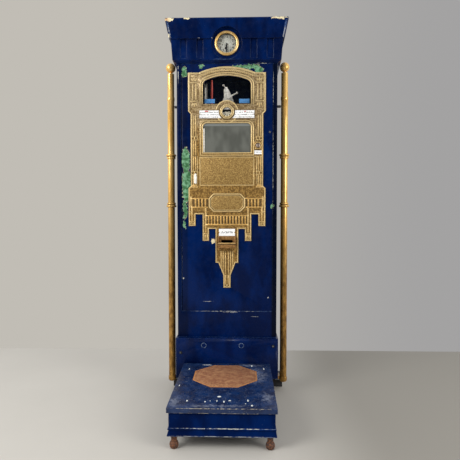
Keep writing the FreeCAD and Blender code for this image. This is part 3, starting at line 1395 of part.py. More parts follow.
def works():
    """Mechanism plate and shelf between the column's sides, with the printer, its arm and the ticket magazine."""
    y = column_front + S.works_back
    shelf_y = column_front + S.shelf_back
    plate = block((-S.works_half, S.works_half), (y, y + S.works_thick),
                  (S.works_foot, S.shelf_height - S.shelf_thick))
    shaft_bore = rod("y", S.shaft_radius + S.pin_fit, (0, y - 1, S.wheel_height), S.works_thick + 2)
    stud_bore = rod("y", 4, (pendulum_x, y - 1, pendulum_z), S.works_thick + 2)
    ears = []
    for side in (-1, 1):
        x = (-inner_half, -S.works_half + 1) if side < 0 else (S.works_half - 1, inner_half)
        for z in (S.works_foot, S.shelf_height - S.shelf_thick - 30):
            ears.append(block(x, (y, y + S.works_thick), (z, z + 30)))
    sub_part(cut(fuse(plate, *ears), shaft_bore, stud_bore), "mechanism_plate")
    shelf = block((-inner_half, inner_half), (shelf_y, shelf_y + S.shelf_deep),
                  (S.shelf_height - S.shelf_thick, S.shelf_height))
    wheel_gap = block((-S.wheel_radius - 4, S.wheel_radius + 4),
                      (shelf_y - 1, column_front + S.wheel_back + S.wheel_thick + 6),
                      (S.shelf_height - S.shelf_thick - 1, S.shelf_height + 1))
    ticket_gap = block(ticket_x(), ticket_y(), (S.shelf_height - S.shelf_thick - 1, S.shelf_height + 1))
    sub_part(cut(shelf, wheel_gap, ticket_gap), "mechanism_shelf")
    printer()


def ticket_x():
    """The ticket chute from side to side."""
    return (-S.chute_half, S.chute_half)


def ticket_y():
    """The ticket chute from front to back."""
    front = column_front + S.works_back + S.works_thick + 6
    return (front, front + S.chute_deep)


def printer():
    """Printer casting, its swinging arm with knob, the ticket magazine and the red ribbon rod."""
    z = S.shelf_height
    y = column_front + S.shelf_back + S.printer_back
    middle = y + S.printer_deep / 2
    x = S.printer_across
    half = S.printer_half
    column = block((x - half, x + half), (y, y + S.printer_deep), (z, z + S.printer_high))
    dome = rod("z", S.dome_radius, (x, middle, z + S.printer_high), S.dome_high)
    crest = z + S.printer_high + S.dome_high
    lean = S.knob_lean
    neck = padded([(x - 5, crest - 3), (x, crest - 6), (x - lean + 4, crest + lean - 4), (x - lean, crest + lean - 8)],
                  (middle - 2, middle + 2))
    crown_knob = ball(S.knob_radius, (x - lean, middle, crest + lean - 4))
    waist = z + S.skirt_high
    skirt = rod("z", S.skirt_radius, (x + half, middle, z), S.skirt_high)
    shoulder = cone("z", S.skirt_radius, S.shoulder_radius, (x + half, middle, waist), S.printer_high - S.skirt_high)
    front_cut = block((x - 50, x + 90), (middle - S.skirt_radius - 1, y + 4), (z + 10, z + S.printer_high))
    flank = cut(fuse(skirt, shoulder), front_cut)
    foot = block((-S.printer_foot, S.printer_foot), (y - 6, y + 40), (z, z + 10))
    chute_gap = block(ticket_x(), ticket_y(), (z - 1, z + 14))
    pivot_z = z + S.arm_rise
    side_boss = rod("y", 12, (S.arm_across, y - 10, pivot_z), 20)
    bore = rod("y", 4 + S.pin_fit, (S.arm_across, y - 11, pivot_z), 40)
    sub_part(cut(fuse(column, dome, neck, crown_knob, flank, foot, side_boss), chute_gap, bore), "printer_casting")
    arm_y = y - 16
    hub = rod("y", 8, (S.arm_across, arm_y, pivot_z), 5)
    pivot = rod("y", 4, (S.arm_across, arm_y, pivot_z), 30)
    arm_x = S.arm_across
    blade = padded([(arm_x - 4, pivot_z + 4), (arm_x + 4, pivot_z - 2), (arm_x + 46, pivot_z + 22),
                    (arm_x + 44, pivot_z + 26)], (arm_y + 0.5, arm_y + 4.5))
    knob = ball(S.knob_radius, (arm_x + 45, arm_y + 2.5, pivot_z + 24))
    sub_part(fuse(hub, pivot, blade, knob), "print_arm")
    left, right = -S.magazine_across - S.magazine_half, -S.magazine_across + S.magazine_half
    channel = block((left, right), (y + 6, y + 30), (z, z + S.magazine_high))
    inside = block((left + S.magazine_wall, right - S.magazine_wall), (y + 5, y + 28), (z + 4, z + S.magazine_high + 1))
    sub_part(cut(channel, inside), "ticket_magazine")
    tickets = block((left + S.magazine_wall + S.clearance / 2, right - S.magazine_wall - S.clearance / 2),
                    (y + 8, y + 27.5), (z + 4, z + S.magazine_high - 22))
    sub_part(tickets, "ticket_stack")
    ribbon = rod("z", S.ribbon_radius, (-S.ribbon_across, y + 8, z), S.ribbon_high)
    sub_part(ribbon, "ribbon_rod")
    card_y = (door_back + S.glass_thick, door_back + S.glass_thick + 1)
    cards = [
        block((63, 63 + 54) if side > 0 else (-63 - 54, -63), card_y, (S.window_sill + 8, S.window_sill + 30))
        for side in (-1, 1)
    ]
    sub_part(group(*cards), "notice_cards")


def money_and_tickets():
    """Ticket chute, coin chute, and the cash box on its shelf."""
    x, y = ticket_x(), ticket_y()
    foot = S.cup_foot + S.cup_wall + S.outlet_rise
    bend = foot + S.chute_bend
    upright = block(x, y, (bend, S.shelf_height - S.shelf_thick))
    upright_inside = block((x[0] + S.sheet, x[1] - S.sheet), (y[0] + S.sheet, y[1] - S.sheet),
                           (bend - 1, S.shelf_height))
    mouth = door_back + 2
    slope_outer = sloped((mouth, foot - S.sheet), (mouth, foot + S.outlet_high + S.sheet), y, bend, x, 0)
    slope_inner = sloped((mouth - 1, foot), (mouth - 1, foot + S.outlet_high), y, bend + 1,
                         (x[0] + S.sheet, x[1] - S.sheet), S.sheet)
    tabs = block((x[0] - S.chute_tab, x[1] + S.chute_tab), (column_front + S.works_back + S.works_thick, y[0] + 3),
                 (S.works_foot + 20, S.works_foot + 50))
    tab_clear = block((x[0] + 1, x[1] - 1), (y[0], y[1]), (S.works_foot, S.works_foot + 60))
    sub_part(cut(fuse(upright, slope_outer, cut(tabs, tab_clear)), upright_inside, slope_inner), "ticket_chute")
    coin_end = column_front + S.rail_back - S.coin_back
    coin_y = (coin_end - S.coin_deep, coin_end)
    coin_x = (S.slot_across - S.coin_half, S.slot_across + S.coin_half)
    box_top = S.box_shelf + S.box_high
    head = S.slot_height + S.coin_high / 2 + 4
    chute = block(coin_x, coin_y, (box_top + 6, head))
    chute_inside = block((coin_x[0] + S.sheet, coin_x[1] - S.sheet), (coin_y[0] + S.sheet, coin_y[1] - S.sheet),
                         (box_top + 5, head - S.sheet))
    entry = block((coin_x[0] + 3, coin_x[1] - 3), (coin_y[0] - 1, coin_y[0] + S.sheet + 1),
                  (S.slot_height - S.coin_high / 2 - 6, S.slot_height + S.coin_high / 2 + 1))
    brackets = [
        block((coin_x[1] - 1, inner_half), (coin_y[1] - 12, coin_y[1] - 8), (z, z + 24))
        for z in (box_top + 60, S.slot_height - 70)
    ]
    sub_part(cut(fuse(chute, *brackets), chute_inside, entry), "coin_chute")
    box_x = (S.slot_across - S.box_wide / 2, S.slot_across + S.box_wide / 2)
    box_y = (door_back + 22, door_back + 22 + S.box_deep)
    outer = block(box_x, box_y, (S.box_shelf, box_top))
    inner = block((box_x[0] + S.sheet, box_x[1] - S.sheet), (box_y[0] + S.sheet, box_y[1] - S.sheet),
                  (S.box_shelf + S.sheet, box_top - S.sheet))
    coin_mouth = block((coin_x[0], coin_x[1]), coin_y, (box_top - S.sheet - 1, box_top + 1))
    left, right = S.slot_across - S.handle_half, S.slot_across + S.handle_half
    thick = S.handle_thick
    grip_z = (S.box_shelf + S.handle_rise, S.box_shelf + S.handle_rise + thick)
    grip = block((left, right), (box_y[0] - S.handle_out, box_y[0] - S.handle_out + 5), grip_z)
    handle = [grip] + [
        block((start, start + thick), (box_y[0] - S.handle_out + 4, box_y[0]), grip_z)
        for start in (left, right - thick)
    ]
    sub_part(fuse(cut(outer, inner, coin_mouth), *handle), "cash_box")
    edge = box_x[0] - S.tray_edge
    shelf = block((edge, inner_half), (box_y[0] - 6, column_back - S.side_wall * 2),
                  (S.box_shelf - S.shelf_thick, S.box_shelf))
    lip = block((edge, edge + 4), (box_y[0] - 6, column_back - S.side_wall * 2),
                (S.box_shelf - 1, S.box_shelf + S.tray_lip))
    sub_part(fuse(shelf, lip), "cash_box_shelf")


def sloped(low, high, y, bend, x, wall):
    """The chute's slanted lower end: a four-cornered side view carried from side to side."""
    body = doc.addObject("PartDesign::Body", next_name("slope"))
    pad = body.newObject("PartDesign::Pad", next_name("pad"))
    back = y[1] - wall
    front = y[0] + wall
    corners = [
        (low[0], low[1]), (back, bend - 30 + wall), (back, bend), (front, bend), (high[0], high[1]),
    ]
    pad.Profile = sketch(body, "YZ_Plane", corners)
    bind(pad, Length=x[1] - x[0])
    return place(body, x[0], 0, 0)


BUILDERS = (
    plinth, foot_bars, casing, back_cover, crown, clock, brass_plate, door, door_fittings, rails, platform,
    base_lever, draw_rod, number_wheel, pendulum, works, money_and_tickets,
)
for builder in BUILDERS:
    builder()

doc.recompute()
for thing in doc.Objects:
    if "Invalid" in thing.State or "Error" in thing.State:
        raise RuntimeError("failed object: " + thing.Label + " " + str(thing.State))
os.makedirs("parts", exist_ok=True)
for thing in SUB_PARTS:
    shape = thing.Shape
    if shape.isNull() or not shape.isValid() or not shape.Solids:
        raise RuntimeError("bad shape: " + thing.Label)
for thing in SUB_PARTS:
    thing.Shape.exportStep("parts/" + thing.Label + ".step")
print(len(SUB_PARTS), "sub-parts")
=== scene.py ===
import math
import bmesh
import bpy
import numpy as np
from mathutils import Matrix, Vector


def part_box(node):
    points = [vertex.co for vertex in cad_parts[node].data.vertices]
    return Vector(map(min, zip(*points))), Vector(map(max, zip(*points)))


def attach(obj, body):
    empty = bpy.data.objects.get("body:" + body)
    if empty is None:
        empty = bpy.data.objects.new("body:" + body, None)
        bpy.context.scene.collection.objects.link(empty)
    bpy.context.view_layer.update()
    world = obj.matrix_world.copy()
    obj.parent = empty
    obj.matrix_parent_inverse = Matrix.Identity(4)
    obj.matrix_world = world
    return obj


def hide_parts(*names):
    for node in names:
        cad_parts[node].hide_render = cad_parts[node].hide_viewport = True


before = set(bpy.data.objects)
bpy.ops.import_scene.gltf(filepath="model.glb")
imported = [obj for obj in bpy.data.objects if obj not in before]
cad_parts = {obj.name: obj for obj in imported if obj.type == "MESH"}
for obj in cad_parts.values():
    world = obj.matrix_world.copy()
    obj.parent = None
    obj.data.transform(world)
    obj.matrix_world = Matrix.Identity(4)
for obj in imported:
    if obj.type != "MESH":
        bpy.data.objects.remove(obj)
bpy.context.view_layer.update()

# Plinth and foot bars
# The column stands on a cast-iron collar, brush-painted dark navy over older green and cream coats, bolted
# down on two black iron bars. Two turned plugs close its front holes and two bolt heads show beside them.
MM = 0.001


def linear(code):
    """An sRGB hex colour as linear RGBA: each channel over 255, then the sRGB curve undone."""
    channels = np.array([int(code[at:at + 2], 16) for at in (1, 3, 5)]) / 255
    undone = np.where(channels <= 0.04045, channels / 12.92, ((channels + 0.055) / 1.055) ** 2.4)
    return (*undone.tolist(), 1.0)


# Every map from one range to another is eased at both its ends
USUAL = {"MapRange": {"interpolation_type": "SMOOTHSTEP"}}


def output_of(value):
    """The first output of a node; anything else as it is."""
    return value.outputs[0] if isinstance(value, bpy.types.Node) else value


def node(material, kind, inputs=(), **settings):
    """One shader node with its settings; inputs gives its sockets' values in order, or by name in a dict.

    A value is a number, a vector, a hex colour, an output, or a node, which feeds in its first output.
    """
    made = material.node_tree.nodes.new("ShaderNode" + kind)
    for word, value in {**USUAL.get(kind, {}), **settings}.items():
        setattr(made, word, value)
    for socket, value in inputs.items() if isinstance(inputs, dict) else enumerate(inputs):
        value = output_of(value)
        if isinstance(value, bpy.types.NodeSocket):
            material.node_tree.links.new(value, made.inputs[socket])
        else:
            made.inputs[socket].default_value = linear(value) if isinstance(value, str) else value
    return made


def finish(name, constants, colour=None, roughness=None, bump=None, bump_mm=0.2):
    """A new material: constants go on the shader's own sockets, patterns arrive through builder functions.

    Each builder takes the material and returns the node or output that drives colour, roughness or bump.
    """
    material = bpy.data.materials.new(name)
    material.use_nodes = True
    shader = material.node_tree.nodes["Principled BSDF"]
    for socket, value in constants.items():
        shader.inputs[socket].default_value = linear(value) if isinstance(value, str) else value
    patterns = {"Base Color": colour, "Roughness": roughness}
    made = {socket: build(material) for socket, build in patterns.items() if build}
    if bump:
        made["Normal"] = node(material, "Bump",
                              {"Height": bump(material), "Distance": bump_mm * MM, "Strength": 1.0})
    for socket, pattern in made.items():
        material.node_tree.links.new(output_of(pattern), shader.inputs[socket])
    return material


def place_mm(material):
    """Object coordinates in millimetres."""
    where = node(material, "TexCoord").outputs["Object"]
    return node(material, "VectorMath", {0: where, "Scale": 1 / MM}, operation="SCALE")


def height_mm(material):
    """The height over the floor in millimetres."""
    return node(material, "SeparateXYZ", [place_mm(material)]).outputs["Z"]


def grain(material, size_mm, detail=3.0, stretch=(1.0, 1.0, 1.0), socket="Fac"):
    """Noise whose blots are about size_mm across, drawn out along an axis where stretch is above 1."""
    scale = tuple(1 / (size_mm * factor) for factor in stretch)
    where = node(material, "VectorMath", (place_mm(material), scale), operation="MULTIPLY")
    noise = node(material, "TexNoise", {"Vector": where, "Scale": 1.0, "Detail": detail, "Roughness": 0.6})
    return noise.outputs[socket]


def blots(material, size_mm, detail, first, last, low=0.0, high=1.0, stretch=(1.0, 1.0, 1.0)):
    """Noise in blots of size_mm, eased from low where it is under first to high where it is over last."""
    return node(material, "MapRange", (grain(material, size_mm, detail, stretch), first, last, low, high))


def two_tones(size_mm, detail, first, last, light, dark, *stretched):
    """A builder for two colours in blots of size_mm: light up to noise of first, dark from noise of last."""
    def colour(material):
        share = blots(material, size_mm, detail, first, last, 0.0, 1.0, *stretched)
        return node(material, "MixRGB", (share, light, dark))
    return colour


def uneven(size_mm, smooth, rough, *stretched):
    """A builder for a roughness that drifts between two levels in blots of size_mm."""
    return lambda material: node(material, "MapRange",
                                 (grain(material, size_mm, *stretched), 0.3, 0.7, smooth, rough))


def pitted(size_mm, *stretched):
    """A builder for a height with pits about size_mm across."""
    return lambda material: grain(material, size_mm, *stretched)


def nearness(material, places, wander_mm, wander_size):
    """How far a point lies from the nearest worn place: 0 in its middle, 1 at its edge.

    Each place is (x, y, z, half x, half y, half z) in mm. The distance is the length of the offset divided
    by the halves, taken after the point has wandered by noise, so that every edge is ragged.
    """
    wander = grain(material, wander_size, 4.0, socket="Color")
    flake = grain(material, wander_size / 3.5, 2.0, socket="Color")
    both_scales = node(material, "VectorMath", (wander, flake), operation="ADD")
    centred = node(material, "VectorMath", (both_scales, (1.0, 1.0, 1.0)), operation="SUBTRACT")
    shift = node(material, "VectorMath", {0: centred, "Scale": wander_mm * 2}, operation="SCALE")
    point = node(material, "VectorMath", (place_mm(material), shift), operation="ADD")
    nearest = None
    for place in places:
        offset = node(material, "VectorMath", (point, tuple(place[:3])), operation="SUBTRACT")
        share = node(material, "VectorMath", (offset, tuple(place[3:])), operation="DIVIDE")
        length = node(material, "VectorMath", [share], operation="LENGTH").outputs["Value"]
        if nearest is not None:
            length = node(material, "Math", (nearest, length), operation="MINIMUM")
        nearest = length
    return nearest


def limits(name):
    """Lowest and highest corner of a CAD node in millimetres."""
    low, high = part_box(name)
    return np.array(low) / MM, np.array(high) / MM


casing_low, casing_high = limits("column_casing")
plinth_low = limits("plinth")[0]
crown_low, crown_high = limits("crown")
door_low, door_high = limits("service_door")
FRONT = casing_low[1]
GREEN_PATCHES = (
    (98, FRONT, 1716, 72, 30, 13), (165, FRONT, 1700, 22, 30, 14), (-132, FRONT, 1722, 14, 30, 10),
    (-221, FRONT, 1692, 12, 30, 30), (-214, FRONT, 1240, 20, 30, 66), (-212, FRONT, 1110, 22, 30, 95),
    (-220, FRONT, 985, 12, 30, 52), (-224, FRONT, 905, 6, 30, 24), (236, FRONT, 1000, 10, 30, 8),
)
CROWN_CHIPS = (
    (265, 105, 1940, 46, 26, 5), (-288, 104, 1938, 24, 26, 9), (-199, 102, 1941, 16, 20, 5),
    (300, 140, 1935, 12, 40, 8), (-306, 160, 1925, 10, 40, 8), (-296, 118, 1862, 4, 20, 12),
    (-71, FRONT, 816, 12, 8, 16),
)
# Pale lines at seams and edges, (x, y, z, half x, half y, half z) in mm: worn paint and painted highlight
SEAM_WEAR_AND_HIGHLIGHTS = (
    (185, FRONT, door_high[2], 40, 8, 1.6), (0, FRONT, door_low[2] - 1, 190, 8, 1.4),
    (door_high[0] + 1, FRONT, 1200, 1.4, 8, 260), (door_high[0] + 1, FRONT, 1600, 1.4, 8, 100),
    (door_low[0], FRONT, 700, 1.4, 8, 180), (-100, FRONT, 498, 30, 8, 0.9), (20, FRONT, 440, 46, 8, 0.9),
    (150, FRONT, 418, 26, 8, 0.8), (215, FRONT, 520, 5, 8, 4), (-228, FRONT, 620, 5, 8, 6),
    (-142, 118, 1850, 6, 20, 2), (-74, 118, 1851, 6, 20, 1.5), (-252, FRONT, 1690, 2, 8, 60),
    (0, -442, 90, 226, 9, 1.3), (0, -449, 60, 230, 9, 1.0),
)
COLUMN_FOOT, COLUMN_HEAD, FADE = 306, 1737, 10
# Bands in mm along X by the column's right and left edges, darkened with painted shade
RIGHT_SHADE_BAND = (door_high[0] - 8, door_high[0] + 2)
LEFT_SHADE_BAND = (-200, -212)


def paint_colour(material):
    """Navy over green over cream: the green shows inside a worn place and the cream as a rim round it."""
    navy = two_tones(90, 3.0, 0.35, 0.65, "#001038", "#001c50", (1, 1, 2.2))(material)
    dust = blots(material, 5, 4.0, 0.68, 0.74, 0.0, 0.3)
    navy = node(material, "MixRGB", (dust, navy, "#6a7c98"))
    # Paler blue on convex edges, broken by noise: partly paint rubbed bare, partly a painted highlight
    rubbed = node(material, "AmbientOcclusion", {"Distance": 3 * MM}, samples=8, inside=True).outputs["AO"]
    edge_wear_and_highlight = node(material, "Math",
                (node(material, "MapRange", (rubbed, 0.85, 0.5)),
                 blots(material, 15, 4.0, 0.35, 0.65, 0.1, 0.6)), operation="MULTIPLY")
    navy = node(material, "MixRGB", (edge_wear_and_highlight, navy, "#5f7aa8"))
    worn = nearness(material, GREEN_PATCHES, 13, 34)
    mottled = two_tones(16, 4.0, 0.4, 0.62, "#3f6b46", "#79a984")(material)
    parts = node(material, "SeparateXYZ", [place_mm(material)]).outputs
    on_column = node(material, "Math",
                     (node(material, "MapRange", (parts["Z"], COLUMN_FOOT, COLUMN_FOOT + FADE)),
                      node(material, "MapRange", (parts["Z"], COLUMN_HEAD, COLUMN_HEAD - FADE))),
                     operation="MULTIPLY")
    # Painted shade: on the column only, near black in the right band and less dark in the left band
    darkening = node(material, "Math",
                 (node(material, "MapRange", (parts["X"], *RIGHT_SHADE_BAND, 0.0, 0.85)),
                  node(material, "MapRange", (parts["X"], *LEFT_SHADE_BAND, 0.0, 0.4))), operation="MAXIMUM")
    navy = node(material, "MixRGB",
                (node(material, "Math", (darkening, on_column), operation="MULTIPLY"), navy, "#00040f"))
    rim = node(material, "Math",
               (node(material, "MapRange", (worn, 1.04, 1.0)),
                blots(material, 12, 3.0, 0.35, 0.6, 0.1, 0.9)), operation="MULTIPLY")
    covered = node(material, "MixRGB", (rim, navy, "#c9c39c"))
    covered = node(material, "MixRGB", (node(material, "MapRange", (worn, 0.99, 0.95)), covered, mottled))
    chipped = nearness(material, CROWN_CHIPS, 9, 20)
    chip = two_tones(22, 2.0, 0.48, 0.66, "#f0e3ba", "#d8b083")(material)
    covered = node(material, "MixRGB", (node(material, "MapRange", (chipped, 1.0, 0.9)), covered, chip))
    # Pale grey along those lines, broken by noise: partly worn paint, partly painted highlight
    worn_and_highlit_seams = nearness(material, SEAM_WEAR_AND_HIGHLIGHTS, 1.2, 14)
    broken = node(material, "Math",
                  (node(material, "MapRange", (worn_and_highlit_seams, 1.1, 0.6)), blots(material, 11, 4.0, 0.42, 0.55)),
                  operation="MULTIPLY")
    return node(material, "MixRGB", (broken, covered, "#c4c4bc"))


def paint_roughness(material):
    """Glossy paint, duller where it is scuffed."""
    return blots(material, 28, 4.0, 0.3, 0.75, 0.2, 0.42)


def paint_height(material):
    """Brush marks that run up and down, over the casting's own slow waves."""
    marks = grain(material, 2.6, 3.0, (1, 1, 14))
    waves = grain(material, 30, 2.0)
    return node(material, "Math", (marks, node(material, "Math", (waves, 2.0), operation="MULTIPLY")))


# Alkyd enamel, brushed on in several coats: deep blue gloss, faint brush marks, chips that show older coats
navy_enamel = finish("navy_alkyd_enamel_brushed", {"IOR": 1.5, "Specular IOR Level": 0.12}, paint_colour,
                     paint_roughness, paint_height, 0.25)


def own_mesh(name):
    """A copy of a CAD node's mesh whose loose triangles are joined and whose flat faces are whole again."""
    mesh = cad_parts[name].data.copy()
    work = bmesh.new()
    work.from_mesh(mesh)
    bmesh.ops.remove_doubles(work, verts=work.verts, dist=0.00002)
    bmesh.ops.dissolve_limit(work, angle_limit=math.radians(0.6), verts=work.verts, edges=work.edges)
    work.to_mesh(mesh)
    work.free()
    return mesh


def settle(piece, body, material, stands_for=()):
    """Give a piece its material, the body it rides on, and the CAD nodes that it stands for."""
    piece.data.materials.clear()
    piece.data.materials.append(material)
    for polygon in piece.data.polygons:
        polygon.use_smooth = True
    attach(piece, body)
    if stands_for:
        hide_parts(*stands_for)
    return piece


def softened(name, label, body, material, width_mm=1.2, segments=2, angle=32):
    """The CAD node's own form with its edges rounded by width_mm, as cast, folded or rubbed edges are."""
    piece = bpy.data.objects.new(label, own_mesh(name))
    bpy.context.scene.collection.objects.link(piece)
    settle(piece, body, material, (name,))
    rounding = piece.modifiers.new("rounding", "BEVEL")
    rounding.width = width_mm * MM
    rounding.segments = segments
    rounding.limit_method = "ANGLE"
    rounding.angle_limit = math.radians(angle)
    rounding.harden_normals = True
    return piece


def round_corners(piece, corner_mm, edge_mm, angle=25):
    """Round a piece's upright front corners by corner_mm and its other sharp edges by edge_mm."""
    work = bmesh.new()
    work.from_mesh(piece.data)
    weight = work.edges.layers.float.new("bevel_weight_edge")
    front = min(vertex.co.y for vertex in work.verts)
    reach = max(vertex.co.x for vertex in work.verts)
    for edge in work.edges:
        if len(edge.link_faces) != 2 or edge.calc_face_angle() < math.radians(angle):
            continue
        run = edge.verts[1].co - edge.verts[0].co
        upright = abs(run.z) > 0.8 * run.length
        outer = all(abs(vertex.co.x) > 0.9 * reach and vertex.co.y < front + 40 * MM for vertex in edge.verts)
        edge[weight] = 1.0 if upright and outer else edge_mm / corner_mm
    work.to_mesh(piece.data)
    work.free()
    rounding = piece.modifiers["rounding"]
    rounding.limit_method = "WEIGHT"
    rounding.width = corner_mm * MM
    rounding.segments = 4
    rounding.use_clamp_overlap = False
    return piece


def dress(material, *names):
    """Give carried-over CAD nodes their material."""
    for name in names:
        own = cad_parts[name]
        own.data.materials.clear()
        own.data.materials.append(material)


# Cast iron under black stove paint: nearly black, satin, a little rust-brown where boots rub
black_iron = finish("cast_iron_black_painted", {"Metallic": 0.0},
                    two_tones(9, 5.0, 0.55, 0.7, "#121216", "#3a332e"), uneven(14, 0.4, 0.62),
                    pitted(3, 4.0), 0.3)

softened("plinth", "plinth_collar", "machine", navy_enamel, 2.5, 3)
softened("front_foot_bar", "foot_bar_front", "machine", black_iron, 2.0)
softened("rear_foot_bar", "foot_bar_rear", "machine", black_iron, 2.0)
softened("plinth_plugs", "hole_plugs", "machine", navy_enamel, 1.0)


def hexagon_heads(centres, radius, front, depth):
    """Hexagonal bolt heads: six-sided rings of growing reach, domed towards the front."""
    angle = np.radians(np.arange(6) * 60 + 12)
    share = np.array([0.0, 0.72, 0.92, 1.0, 1.0])
    reach = np.array([depth, depth, depth * 0.86, depth * 0.6, -1.0])
    ring_x = radius * share[:, None] * np.cos(angle)[None, :]
    ring_z = radius * share[:, None] * np.sin(angle)[None, :]
    ring_y = np.repeat((front - reach)[:, None], 6, axis=1)
    return [np.stack([ring_x + x, ring_y, ring_z + z], axis=-1) for x, z in centres]


def shell(label, sheets, along=False, lids=(False, True)):
    """A piece from point grids (rows, columns, 3) in mm, wrapped round their columns, lidded at their ends.

    Neighbouring points make the quads. Equal points are merged afterwards, so a ring of no radius is a pole.
    """
    points, faces, first = [], [], 0
    for sheet in sheets:
        rows, columns = sheet.shape[:2]
        index = first + np.arange(rows * columns).reshape(rows, columns)
        index = np.concatenate([index, index[:, :1]], axis=1)
        if along:
            index = np.concatenate([index, index[:1]], axis=0)
        quads = np.stack([index[:-1, :-1], index[:-1, 1:], index[1:, 1:], index[1:, :-1]], axis=-1)
        faces += quads.reshape(-1, 4).tolist()
        faces += [index[row, :columns].tolist() for row, wanted in zip((0, -1), lids) if wanted]
        points.append(sheet.reshape(-1, 3))
        first += rows * columns
    mesh = bpy.data.meshes.new(label)
    mesh.from_pydata((np.concatenate(points) * MM).tolist(), [], faces)
    work = bmesh.new()
    work.from_mesh(mesh)
    bmesh.ops.remove_doubles(work, verts=work.verts, dist=0.000001)
    bmesh.ops.recalc_face_normals(work, faces=work.faces)
    work.to_mesh(mesh)
    work.free()
    piece = bpy.data.objects.new(label, mesh)
    bpy.context.scene.collection.objects.link(piece)
    return piece


def crease(piece, degrees=32):
    """Keep edges sharper than this crisp under smooth shading."""
    piece.data.set_sharp_from_angle(angle=math.radians(degrees))
    return piece


bolt_low, bolt_high = limits("plinth_bolts")
BOLT_RADIUS = 8.0
bolt_centres = [(bolt_low[0] + 7, bolt_low[2] + 7), (bolt_high[0] - 7, bolt_high[2] - 7)]
heads = shell("bolt_heads", hexagon_heads(bolt_centres, BOLT_RADIUS, plinth_low[1], 5))
crease(settle(heads, "machine", black_iron, ("plinth_bolts",)))


def turned(radii, depths, x, y, z, axis="y", steps=40):
    """A turned form: the outline (radius, depth) carried round an axis through (x, y, z)."""
    angle = np.linspace(0, 2 * np.pi, steps, endpoint=False)
    across = np.outer(radii, np.cos(angle))
    up = np.outer(radii, np.sin(angle))
    deep = np.repeat(np.asarray(depths, float)[:, None], steps, axis=1)
    order = {"y": (across + x, deep + y, up + z), "z": (across + x, up + y, deep + z)}
    return np.stack(order[axis], axis=-1)


# The same enamel rubbed through to its grey ground round the plugs
plug_enamel = finish("navy_alkyd_enamel_rubbed", {"IOR": 1.5, "Specular IOR Level": 0.3},
                     two_tones(6, 3.0, 0.4, 0.6, "#24406a", "#8696ab"), paint_roughness)
PLUG_RING = 11.5
plug_low, plug_high = limits("plinth_plugs")
plug_z = (plug_low[2] + plug_high[2]) / 2
plug_half = plug_z - plug_low[2]
rings_of_plugs = [turned([PLUG_RING, PLUG_RING, PLUG_RING + 1.2, PLUG_RING + 2.0, PLUG_RING + 2.0],
                         [0.5, -2.4, -2.7, -2.2, 0.5], x, plinth_low[1], plug_z, steps=32)
                  for x in (plug_low[0] + plug_half, plug_high[0] - plug_half)]
settle(shell("plug_rings", rings_of_plugs, along=True, lids=(False, False)), "machine",
       plug_enamel)

# Rolled steel, zinc-dipped and dulled: mid grey, brushed only by handling
dull_steel = finish("rolled_steel_zinc_dipped", {"Metallic": 0.85},
                    two_tones(12, 4.0, 0.35, 0.7, "#8d8f90", "#5d5c58"), uneven(6, 0.34, 0.55, 4.0),
                    pitted(1.5, 3.0, (1, 1, 8)), 0.08)
# Small grey steel domes set to the lower left of each bolt head: a painted glint
glint_pins = [turned([0, 2.2, 3.2, 3.4], [-1.2, -1.0, -0.4, 1.0], x - 1.5, plinth_low[1] - 5, z - 1.5,
                      steps=16) for x, z in bolt_centres]
settle(shell("bolt_glint_pins", glint_pins), "machine", dull_steel)

# Column casing and back cover
# Sheet steel on an angle frame, folded and painted like the plinth; the back is closed by one flat sheet
# under six domed screws.
softened("column_casing", "column_shell", "machine", navy_enamel, 1.6, 3)
softened("back_cover", "rear_sheet", "machine", navy_enamel, 1.0)
screw_low, screw_high = limits("back_cover_screws")
screw_x = screw_high[0] - 5
screw_z = (screw_low[2] + 5, (screw_low[2] + screw_high[2]) / 2, screw_high[2] - 5)
screws = [turned([0, 1.6, 4.2, 5.0, 5.0], [2.4, 2.4, 1.9, 0.9, -1.8], x, screw_high[1] - 1.8, z, steps=20)
          for x in (-screw_x, screw_x) for z in screw_z]
settle(shell("rear_screws", screws), "machine", dull_steel, ("back_cover_screws",))
dress(dull_steel, "door_pivot_pins")

# Crown
# A hollow cast-iron cornice that flares outwards in three bands: a cove, a frieze with raised pilasters
# between sunk fields, and a plain fascia cut by a round hood over the clock. Its upright corners are rubbed
# round.
round_corners(softened("crown", "crown_cornice", "machine", navy_enamel), 11.0, 1.8)
round_corners(softened("crown_lid", "crown_roof", "machine", navy_enamel), 11.0, 1.2)

fascia_low_z = crown_low[2] + 115
CORNER_BEAD = 3.2


def upright_bead(side):
    """A half-round bead set in from the fascia's front corner: a small circle carried up the slanted edge."""
    turn = np.linspace(0, 2 * np.pi, 12, endpoint=False)
    rise = np.linspace(0.04, 0.9, 8)
    z = fascia_low_z + rise * (crown_high[2] - fascia_low_z)
    out = 34 + rise * 16
    x = side * (casing_high[0] + out - 9)
    y = FRONT - out + 0.6
    return np.stack([x[:, None] + CORNER_BEAD * np.cos(turn)[None, :],
                     y[:, None] + CORNER_BEAD * 0.7 * np.sin(turn)[None, :],
                     np.repeat(z[:, None], 12, axis=1)], axis=-1)


# The same enamel blotched pale grey: a painted highlight along the crown's front corners
corner_highlight_enamel = finish("navy_enamel_painted_corner_highlight", {"IOR": 1.5},
                       two_tones(10, 4.0, 0.38, 0.6, "#1b2a52", "#aeb0ae"), uneven(8, 0.35, 0.6),
                       pitted(2, 3.0), 0.2)
settle(shell("corner_highlight_beads", [upright_bead(-1), upright_bead(1)], lids=(True, True)),
       "machine", corner_highlight_enamel)

# Clock
# A spring clock behind a spun brass bezel: domed bezel, flat glass, white enamelled copper dial with black
# numerals, two blued steel hands and two winding holes. The movement sits in a steel drum behind.
bezel_low, bezel_high = limits("clock_bezel")
dial_low, dial_high = limits("clock_dial")
CLOCK_Z = (bezel_low[2] + bezel_high[2]) / 2
BEZEL_RADIUS = bezel_high[0]
DIAL_RADIUS = dial_high[0]
DIAL_FRONT = dial_low[1]
GRIME_REACH = 7


